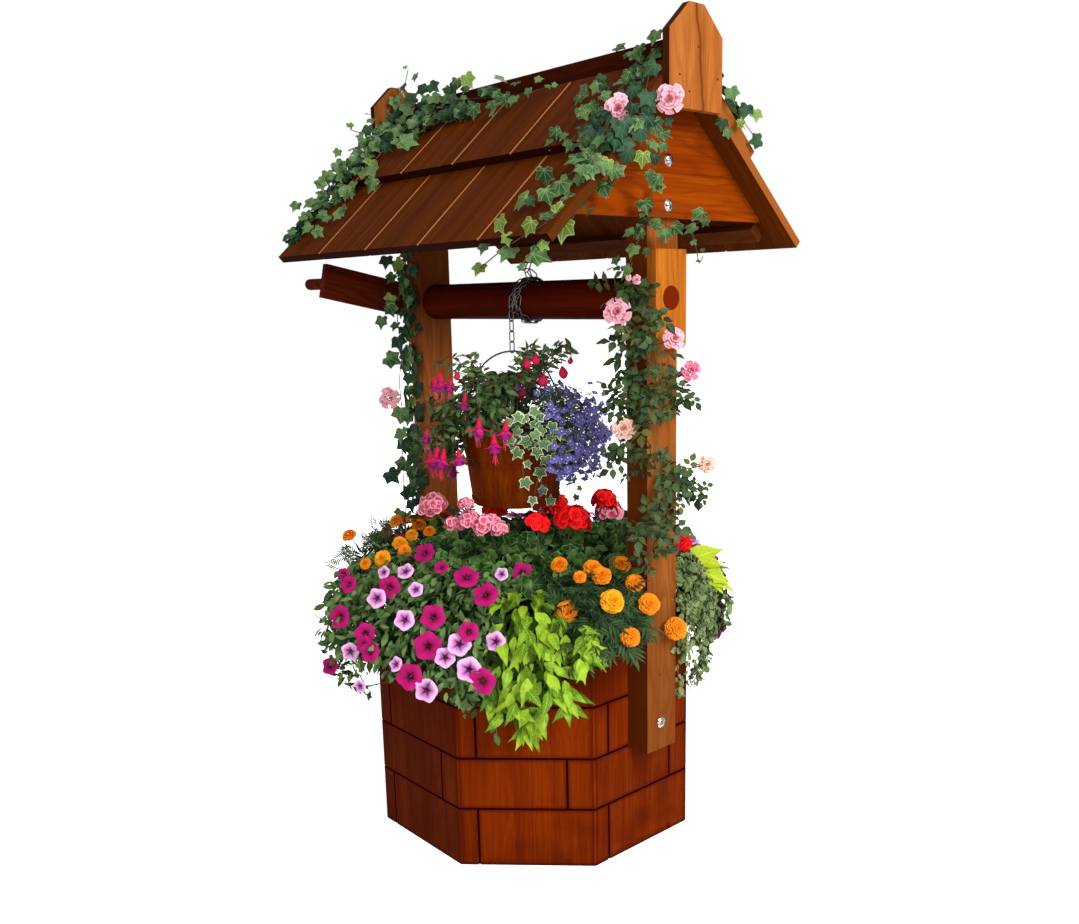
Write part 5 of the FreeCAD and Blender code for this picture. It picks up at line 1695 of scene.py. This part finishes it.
# Bucket planting, about the bucket's own axis: profiles as radius and height above its rim
fuchsia_rows = [(0.13, -0.048), (0.19, -0.078), (0.215, -0.008), (0.19, 0.082), (0.066, 0.132)]
fuchsia_rows.append((0.0, 0.134))
lobelia_rows = [(0.13, -0.078), (0.19, -0.098), (0.225, -0.028), (0.205, 0.072), (0.066, 0.122)]
lobelia_rows.append((0.02, 0.124))
ivy_rows = [(0.1, -0.143), (0.128, -0.148), (0.16, -0.088), (0.16, 0.012), (0.07, 0.032)]
bail_way = Vector((math.sqrt(0.5), math.sqrt(0.5), 0))
bail_side = Vector((math.sqrt(0.5), -math.sqrt(0.5), 0))
# The wedge that the bail sweeps above its pins, and the room under its arch
bail_drop = 0.02
bail_half = 0.012
bail_widening = 0.2
bail_span = 0.16
arch_half = 0.05
arch_top = 1.058


def on_bucket(rows, angle, share, lift=0.0):
    """Point of a mass of the bucket's planting, and its normal."""
    out, rise, slope = along_profile(rows, share)
    radial = radial_way(angle)
    normal = (radial * slope.y - up * slope.x).normalized()
    return bucket_axis + radial * out + up * (bucket_rim + rise) + normal * lift, normal


def clear_of_bail(place, reach=0.0):
    """Whether a leaf there keeps out of the wedge that the bail sweeps."""
    height = place.z - bail_pin
    if height < -bail_drop:
        return True
    away = place - bucket_axis
    across, far = abs(away.dot(bail_side)), abs(away.dot(bail_way))
    if far < arch_half and place.z < arch_top:
        return True
    return across > bail_half + reach + max(height, 0) * bail_widening or far > bail_span + reach


def fuchsia_leaves(bm, count, angles, shares, sizes, lift):
    """Fuchsia leaves over their mass of the bucket's planting, clear of the bail."""
    for _ in range(count):
        angle, share = rng.uniform(*angles), rng.uniform(*shares)
        place, normal = on_bucket(fuchsia_rows, angle, share, rng.uniform(*lift))
        if not clear_of_bail(place, 0.034):
            continue
        pointing = radial_way(angle) * 0.8 - up * 0.2 + shake(0.8)
        facing = normal + up * 0.3 + shake(0.55)
        join(bm, fuchsia_shape, laid(place, facing, pointing, rng.uniform(*sizes)))


def in_bucket_mass(place):
    """Whether a point lies in the bucket's planting."""
    away = place - bucket_axis
    angle = math.degrees(math.atan2(away.y, away.x)) % 360
    rows = lobelia_rows if angle < 115 else (fuchsia_rows if angle <= 315 else ivy_rows)
    return inside_outline([(0.0, 0.0), (0.1, 0.0)] + rows, math.hypot(away.x, away.y), place.z - bucket_rim)


def bucket_seen(px, py):
    """Point seen on the bucket's planting, or above it a little before the bail."""
    before_bail = bucket_axis + up * bucket_rim + towards_camera(bucket_axis + up) * 0.118
    return seen_in(px, py, in_bucket_mass, 1.7, 2.9) or seen_beside(px, py, before_bail)


def round_bucket(px, py, radius=0.15):
    """Point seen at a distance from the bucket's axis, or where the sight passes nearest to the axis."""
    ray = sight(px, py)
    away = camera_place - bucket_axis
    a = ray.x**2 + ray.y**2
    b = 2 * (away.x * ray.x + away.y * ray.y)
    inner = b * b - 4 * a * (away.x**2 + away.y**2 - radius**2)
    return camera_place + ray * ((-b - math.sqrt(max(inner, 0))) / (2 * a))


bm = start_piece()
for row in (
    (1050, (116, 270), (0.08, 1.0), (0.02, 0.033), (-0.036, 0.01)),
    (420, (116, 270), (0.1, 1.0), (0.022, 0.034), (-0.07, -0.03)),
    (420, (268, 314), (0.55, 1.0), (0.02, 0.032), (-0.045, 0.0)),
    (130, (262, 306), (0.42, 0.55), (0.02, 0.03), (-0.09, -0.05)),
):
    fuchsia_leaves(bm, *row)
near_side = towards_camera(bucket_axis + up)
bud_spots = (
    (520.5, 386, 30), (544, 374, 30), (561.5, 366, 30), (527, 358, 26), (535, 354, 26), (570.5, 357, 18),
    (457, 372, 20),
)
twig_tips = (
    (440, 362), (450, 356), (462, 354), (470, 362), (480, 368), (488, 378), (506, 372), (514, 376),
    (526, 358), (534, 349), (540, 356), (546, 350), (560, 343), (568, 346), (430, 385), (424, 400),
    (426, 440), (440, 450), (552, 362), (556, 352), (500, 378), (470, 376), (455, 372), (530, 366),
    (518, 362), (486, 384),
)
stalk_rows = 8
hangers = [(px, py - stalk_rows) for px, py, _ in bud_spots]


def leafy_twig(bm, tip_point):
    """Adds pairs of small leaves along an arching twig and gives its path."""
    foot = bucket_axis + near_side * 0.06 + (tip_point - bucket_axis) * rng.uniform(0.25, 0.55)
    foot.z = max(bucket_rim + 0.03, tip_point.z - rng.uniform(0.05, 0.08))
    crest = foot.lerp(tip_point, 0.55) + up * rng.uniform(0.008, 0.022) + shake(0.004)
    for k in range(11):
        share = 0.25 + 0.075 * k
        on_rise = share < 0.55
        spot = foot.lerp(crest, share / 0.55) if on_rise else crest.lerp(tip_point, (share - 0.55) / 0.45)
        if clear_of_bail(spot, 0.03):
            side = 1 if k % 2 else -1
            across = (tip_point - foot).cross(near_side).normalized() * side
            pointing = across + (tip_point - foot).normalized() * 0.7 + shake(0.3)
            facing = near_side * 0.5 + up * 0.6 + shake(0.4)
            join(bm, fuchsia_shape, laid(spot, facing, pointing, rng.uniform(0.017, 0.028)))
    return [foot, crest, tip_point]


twigs = [leafy_twig(bm, bucket_seen(px, py)) for px, py in twig_tips + tuple(hangers)]
finished(bm, "fuchsia_foliage", ["fuchsia green"], "bucket", ["bucket_fuchsia"])

# Hanging blooms and buds by sight: place of the stalk's end in the picture and length
fuchsia_spots = (
    (440.5, 372, 62), (428, 428, 50), (431, 450, 60), (438, 446, 64), (445, 448, 64), (442, 452, 58),
    (459, 448, 56), (465.5, 393, 56), (479.6, 417, 64), (493.7, 433, 64), (506, 420, 62), (452, 378, 45),
    (435, 376, 50),
)
bm = start_piece()
for px, py, size in fuchsia_spots:
    spot = bucket_seen(px, py) + near_side * 0.026
    join(bm, fuchsia_flower, laid(spot, up + shake(0.1), shake(1.0), size * mm))
    twigs.append([spot + up * 0.036 - near_side * 0.03, spot + up * 0.022 - near_side * 0.01, spot])
for px, py, size in bud_spots:
    spot = bucket_seen(px, py) + near_side * 0.024
    join(bm, bud_shape, laid(spot, up + shake(0.12), shake(1.0), size * mm))
    twigs.append([spot + up * 0.012 - near_side * 0.026, spot + up * 0.008 - near_side * 0.008, spot])
for k in range(10):
    place, normal = on_bucket(fuchsia_rows, 120 + 9 * k, rng.uniform(0.1, 0.5), 0.012)
    join(bm, fuchsia_flower, laid(place, up + shake(0.1), shake(1.0), 0.058))
    twigs.append([place + up * 0.03 - normal * 0.02, place + up * 0.012, place])
tubes(bm, twigs, stem_sizes["fuchsia"], 0)
finished(bm, "fuchsia_blooms", ["red stem", "fuchsia sepal", "fuchsia skirt"], "bucket")

bm = start_piece()
sprigs = []
for k in range(250):
    angle, share = rng.uniform(-14, 116), rng.uniform(0.0, 0.95)
    place, normal = on_bucket(lobelia_rows, angle, share, rng.uniform(-0.02, 0.006))
    if not clear_of_bail(place, 0.032):
        continue
    foot = bucket_axis.lerp(Vector((place.x, place.y, 0)), 0.4) + up * (bucket_rim + 0.01)
    half_way = foot.lerp(place, 0.55) + up * 0.02 + shake(0.006)
    if clear_of_bail(half_way, 0.012):
        sprigs.append([foot, half_way, place])
    for s in range(9):
        spot = half_way.lerp(place, s / 8) + shake(0.004)
        if clear_of_bail(spot, 0.028):
            pointing = shake(1.0) + normal * 0.5
            join(bm, needle_shape, laid(spot, normal + shake(0.5), pointing, rng.uniform(0.012, 0.02)))
    for _ in range(3 if share < 0.6 else 1):
        spot = place + shake(0.013)
        if clear_of_bail(spot, 0.026):
            facing = normal + towards_camera(place) * 0.4 + shake(0.35)
            join(bm, lobelia_flower, laid(spot, facing, up + shake(0.3), rng.uniform(0.01, 0.013)))
tubes(bm, sprigs, stem_sizes["lobelia"], 0)
finished(bm, "lobelia_sprays", ["lobelia green", "lobelia"], "bucket", ["bucket_lobelia"])

bucket_ivy_spots = (
    (520.5, 419, 21), (529.5, 417, 21), (540.5, 419, 21), (533, 426, 21), (553, 428, 21), (544, 434, 21),
    (520.5, 434, 21), (533, 437, 21), (549.5, 439, 21), (562, 441, 21), (542, 446, 21), (551, 448, 21),
    (520.5, 456, 24), (537, 453, 21), (546, 462, 24), (558.6, 454.5, 21), (566, 463, 24), (555, 460, 21),
    (540.5, 475, 23), (524, 484, 25), (545, 492, 17), (533, 502, 18), (551, 510, 18), (571, 481, 18),
    (581, 491, 13), (575, 499, 15), (526, 427, 21), (558, 434, 21), (514, 442, 19), (512, 428, 18),
    (566, 450, 19), (530, 446, 21), (525, 466, 16),
)
bucket_ivy_stems = (
    ((530, 430), (520, 448), (524, 484)), ((545, 440), (541, 462), (540, 476), (545, 494), (551, 510)),
    ((548, 446), (536, 480), (533, 502)), ((560, 436), (566, 455), (564, 472), (572, 492), (580, 498)),
    ((566, 455), (572, 470), (573, 482)),
)
# The ivy hangs nearer to the bucket the lower it is
hang_reach, hang_start, hang_rows, drawn_in = 0.205, 425, 50, 0.0011
bm = start_piece()
for px, py, size in bucket_ivy_spots:
    place = round_bucket(px, py, hang_reach - drawn_in * min(max(py - hang_start, 0), hang_rows))
    outwards = (place - bucket_axis - up * place.z).normalized()
    facing = outwards * 0.6 + towards_camera(place) * 0.5 + shake(0.22)
    size *= mm * rng.uniform(0.92, 1.08)
    place += facing.normalized() * rng.uniform(0, 0.01) + up * size * 0.6
    join(bm, cream_shape, laid(place, facing, shake(0.6) - up, size))
for _ in range(34):
    angle, share = rng.uniform(-45, 12), rng.uniform(0.55, 1.0)
    place, normal = on_bucket(ivy_rows, angle, share, rng.uniform(-0.03, -0.008))
    if clear_of_bail(place, 0.024):
        facing, pointing = normal + shake(0.3), shake(0.6) - up * 0.7
        join(bm, cream_shape, laid(place, facing, pointing, rng.uniform(0.017, 0.023)))
stems = [[round_bucket(px, py, 0.165) for px, py in path] for path in bucket_ivy_stems]
tubes(bm, stems, stem_sizes["bucket ivy"], 1)
finished(bm, "variegated_ivy", ["cream ivy", "green stem"], "bucket", ["bucket_ivy"])


# Chain: oval links wound round the roller, and the hanging links
link_wire = 0.0014
link_width = 0.0151
link_length = 0.0296


def oval_link():
    """One link of the chain, its long axis along Z, the loop opening along Y."""
    bm = start_piece()
    end = link_width / 2 - link_wire
    straight = link_length / 2 - link_width / 2
    foot = Matrix.Translation((end, 0, -straight))
    bmesh.ops.create_circle(bm, segments=8, radius=link_wire, matrix=foot)
    edges = list(bm.edges)
    for way in (1, -1):
        made = bmesh.ops.extrude_edge_only(bm, edges=edges)["geom"]
        ring = [item for item in made if isinstance(item, bmesh.types.BMVert)]
        edges = [item for item in made if isinstance(item, bmesh.types.BMEdge)]
        edges = [edge for edge in edges if set(edge.verts) <= set(ring)]
        bmesh.ops.translate(bm, verts=ring, vec=(0, 0, 2 * straight * way))
        centre = (0, 0, straight * way)
        bent = bmesh.ops.spin(bm, geom=ring + edges, cent=centre, axis=(0, -1, 0), angle=math.pi, steps=8)
        edges = [item for item in bent["geom_last"] if isinstance(item, bmesh.types.BMEdge)]
    bmesh.ops.remove_doubles(bm, verts=bm.verts, dist=1e-5)
    bmesh.ops.recalc_face_normals(bm, faces=bm.faces)
    return as_shape(bm, "chain link", 0)


link_shape = oval_link()
link_pitch = 0.0237
winding_turns = 3.6
winding_radius = 0.0478
winding_run = 0.026
bm = start_piece()
link_count = int(winding_turns * 2 * math.pi * winding_radius / link_pitch)
for k in range(link_count + 1):
    angle = k * link_pitch / winding_radius
    radial = Vector((0, -math.cos(angle), math.sin(angle)))
    tangent = Vector((0.22, math.sin(angle), math.cos(angle))).normalized()
    side = radial.cross(tangent).normalized()
    loop_way = radial * 1.2 + side * (0.8 if k % 2 else -0.8)
    place = axle + Vector((0.0015 + winding_run * k / link_count, 0, 0)) + radial * winding_radius
    join(bm, link_shape, laid(place, tangent, loop_way, 1.0))
loose_links = (
    ((0.024, -0.016, 1.28), 0.4, 0.6), ((0.03, -0.022, 1.296), -0.5, 0.1),
    ((0.04, -0.018, 1.281), 1.0, 1.3),
)
for place, tilted, turned in loose_links:
    tilting = Matrix.Translation(place) @ Matrix.Rotation(tilted, 4, "X")
    join(bm, link_shape, tilting @ Matrix.Rotation(turned, 4, "Z"))
finished(bm, "wound_links", ["dark steel chain"], "windlass", ["chain_winding"])

bm = start_piece()
low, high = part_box("hanging_chain")
for k in range(4):
    place = bucket_axis + up * (low.z + link_length / 2 + link_pitch * k)
    join(bm, link_shape, Matrix.Translation(place) @ Matrix.Rotation(0 if k % 2 else quarter, 4, "Z"))
hanging = finished(bm, "hanging_links", ["dark steel chain"], "planter", ["hanging_chain"])
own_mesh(hanging)


# Finishes of the frame's own pieces
def dress(material, name):
    """Gives a frame piece a material."""
    nodes[name].data.materials.clear()
    nodes[name].data.materials.append(finishes[material])


# Panels on the -Y side take the shaded copy of the wall, as painted shade
for k in range(1, 9):
    low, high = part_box(f"wall_panel_{k}")
    dress("shaded block wall" if low.y + high.y < -0.6 else "stained block wall", f"wall_panel_{k}")
dressed = {
    "plain pine": ("floor_bearers", "base_floor", "corner_blocks"),
    "black liner": ("planter_liner",),
    "potting soil": ("potting_soil", "bucket_soil"),
    "orange post": ("front_post",),
    "brown post": ("crank_post", "crank_bearing_block"),
    "golden bearing block": ("front_bearing_block",),
    "orange gable": ("front_gable_boards", "crank_gable_boards"),
    "light finial": ("front_finial",),
    "far finial": ("crank_finial",),
    "left roof board": ("left_lower_boards", "left_upper_boards"),
    "right roof board": ("right_lower_boards", "right_upper_boards"),
    "dark ridge": ("ridge_board",),
    "brown purlin": ("roof_purlins",),
    "dark roller": ("windlass_roller",),
    "dark crank": ("crank_arm", "crank_grip"),
    "polished zinc bolt": (
        "base_bolts", "gable_bolts", "base_nuts", "gable_nuts", "crank_screw", "thrust_washer",
    ),
    "dark nail": ("finial_nails",),
    "dark steel chain": ("end_link",),
    "blackened wire": ("bucket_bail", "bucket_ears"),
    "bucket stave": ("bucket_staves", "bucket_floor"),
    "hoop": ("bucket_hoops",),
}
for material, names in dressed.items():
    for name in names:
        dress(material, name)
# The upper bolt of each post is under a wooden plug, as none shows there
plug_height = 0.37
bolts = nodes["base_bolts"]
bolts.data.materials.append(finishes["orange post"])
for polygon in bolts.data.polygons:
    if (bolts.matrix_world @ polygon.center).z > plug_height:
        polygon.material_index = 1

# Studio
bm = bmesh.new()
bmesh.ops.create_grid(bm, x_segments=1, y_segments=1, size=14)
mesh = as_shape(bm, "floor")
tree, shader = new_material("pale floor")
surface(shader, (0.86, 0.86, 0.86), 0.9, 0.1)
feed((1, 1, 1), shader, "Emission Color")
seen = tree.nodes.new("ShaderNodeLightPath")
far = add(tree, "ShaderNodeVectorMath", operation="LENGTH")
link(own_place(tree), far, 0)
paler = steps(far.outputs["Value"], 0.7, 2.6, 0.72, 1.3)
glow = times(seen.outputs["Is Camera Ray"], paler)
link(glow, shader, "Emission Strength")
mesh.materials.append(finishes["pale floor"])
floor = bpy.data.objects.new("floor", mesh)
scene.collection.objects.link(floor)

world = bpy.data.worlds.new("studio")
world.use_nodes = True
background = world.node_tree.nodes["Background"]
seen = world.node_tree.nodes.new("ShaderNodeLightPath")
strength = scaled(seen.outputs["Is Camera Ray"], 0.55, 0.45)
feed((1, 1, 1), background, 0)
link(strength, background, 1)
scene.world = world


def soft_light(name, place, aim, size, watts):
    """Square soft box aimed at a point."""
    data = bpy.data.lights.new(name, "AREA")
    data.shape = "SQUARE"
    data.size = size
    data.energy = watts
    lamp = bpy.data.objects.new(name, data)
    scene.collection.objects.link(lamp)
    lamp.location = place
    lamp.rotation_euler = (Vector(aim) - Vector(place)).to_track_quat("-Z", "Y").to_euler()


for lamp in (
    ("key", (5.2, -0.5, 3.6), (0, 0, 0.85), 2.4, 340),
    ("front", (3.0, -3.2, 1.5), (0, 0, 0.9), 2.4, 55),
    ("fill", (-1.2, -4.4, 2.6), (0, 0, 0.8), 2.6, 20),
    ("back", (-2.5, 3.5, 3.6), (0, 0, 0.9), 2.6, 70),
):
    soft_light(*lamp)
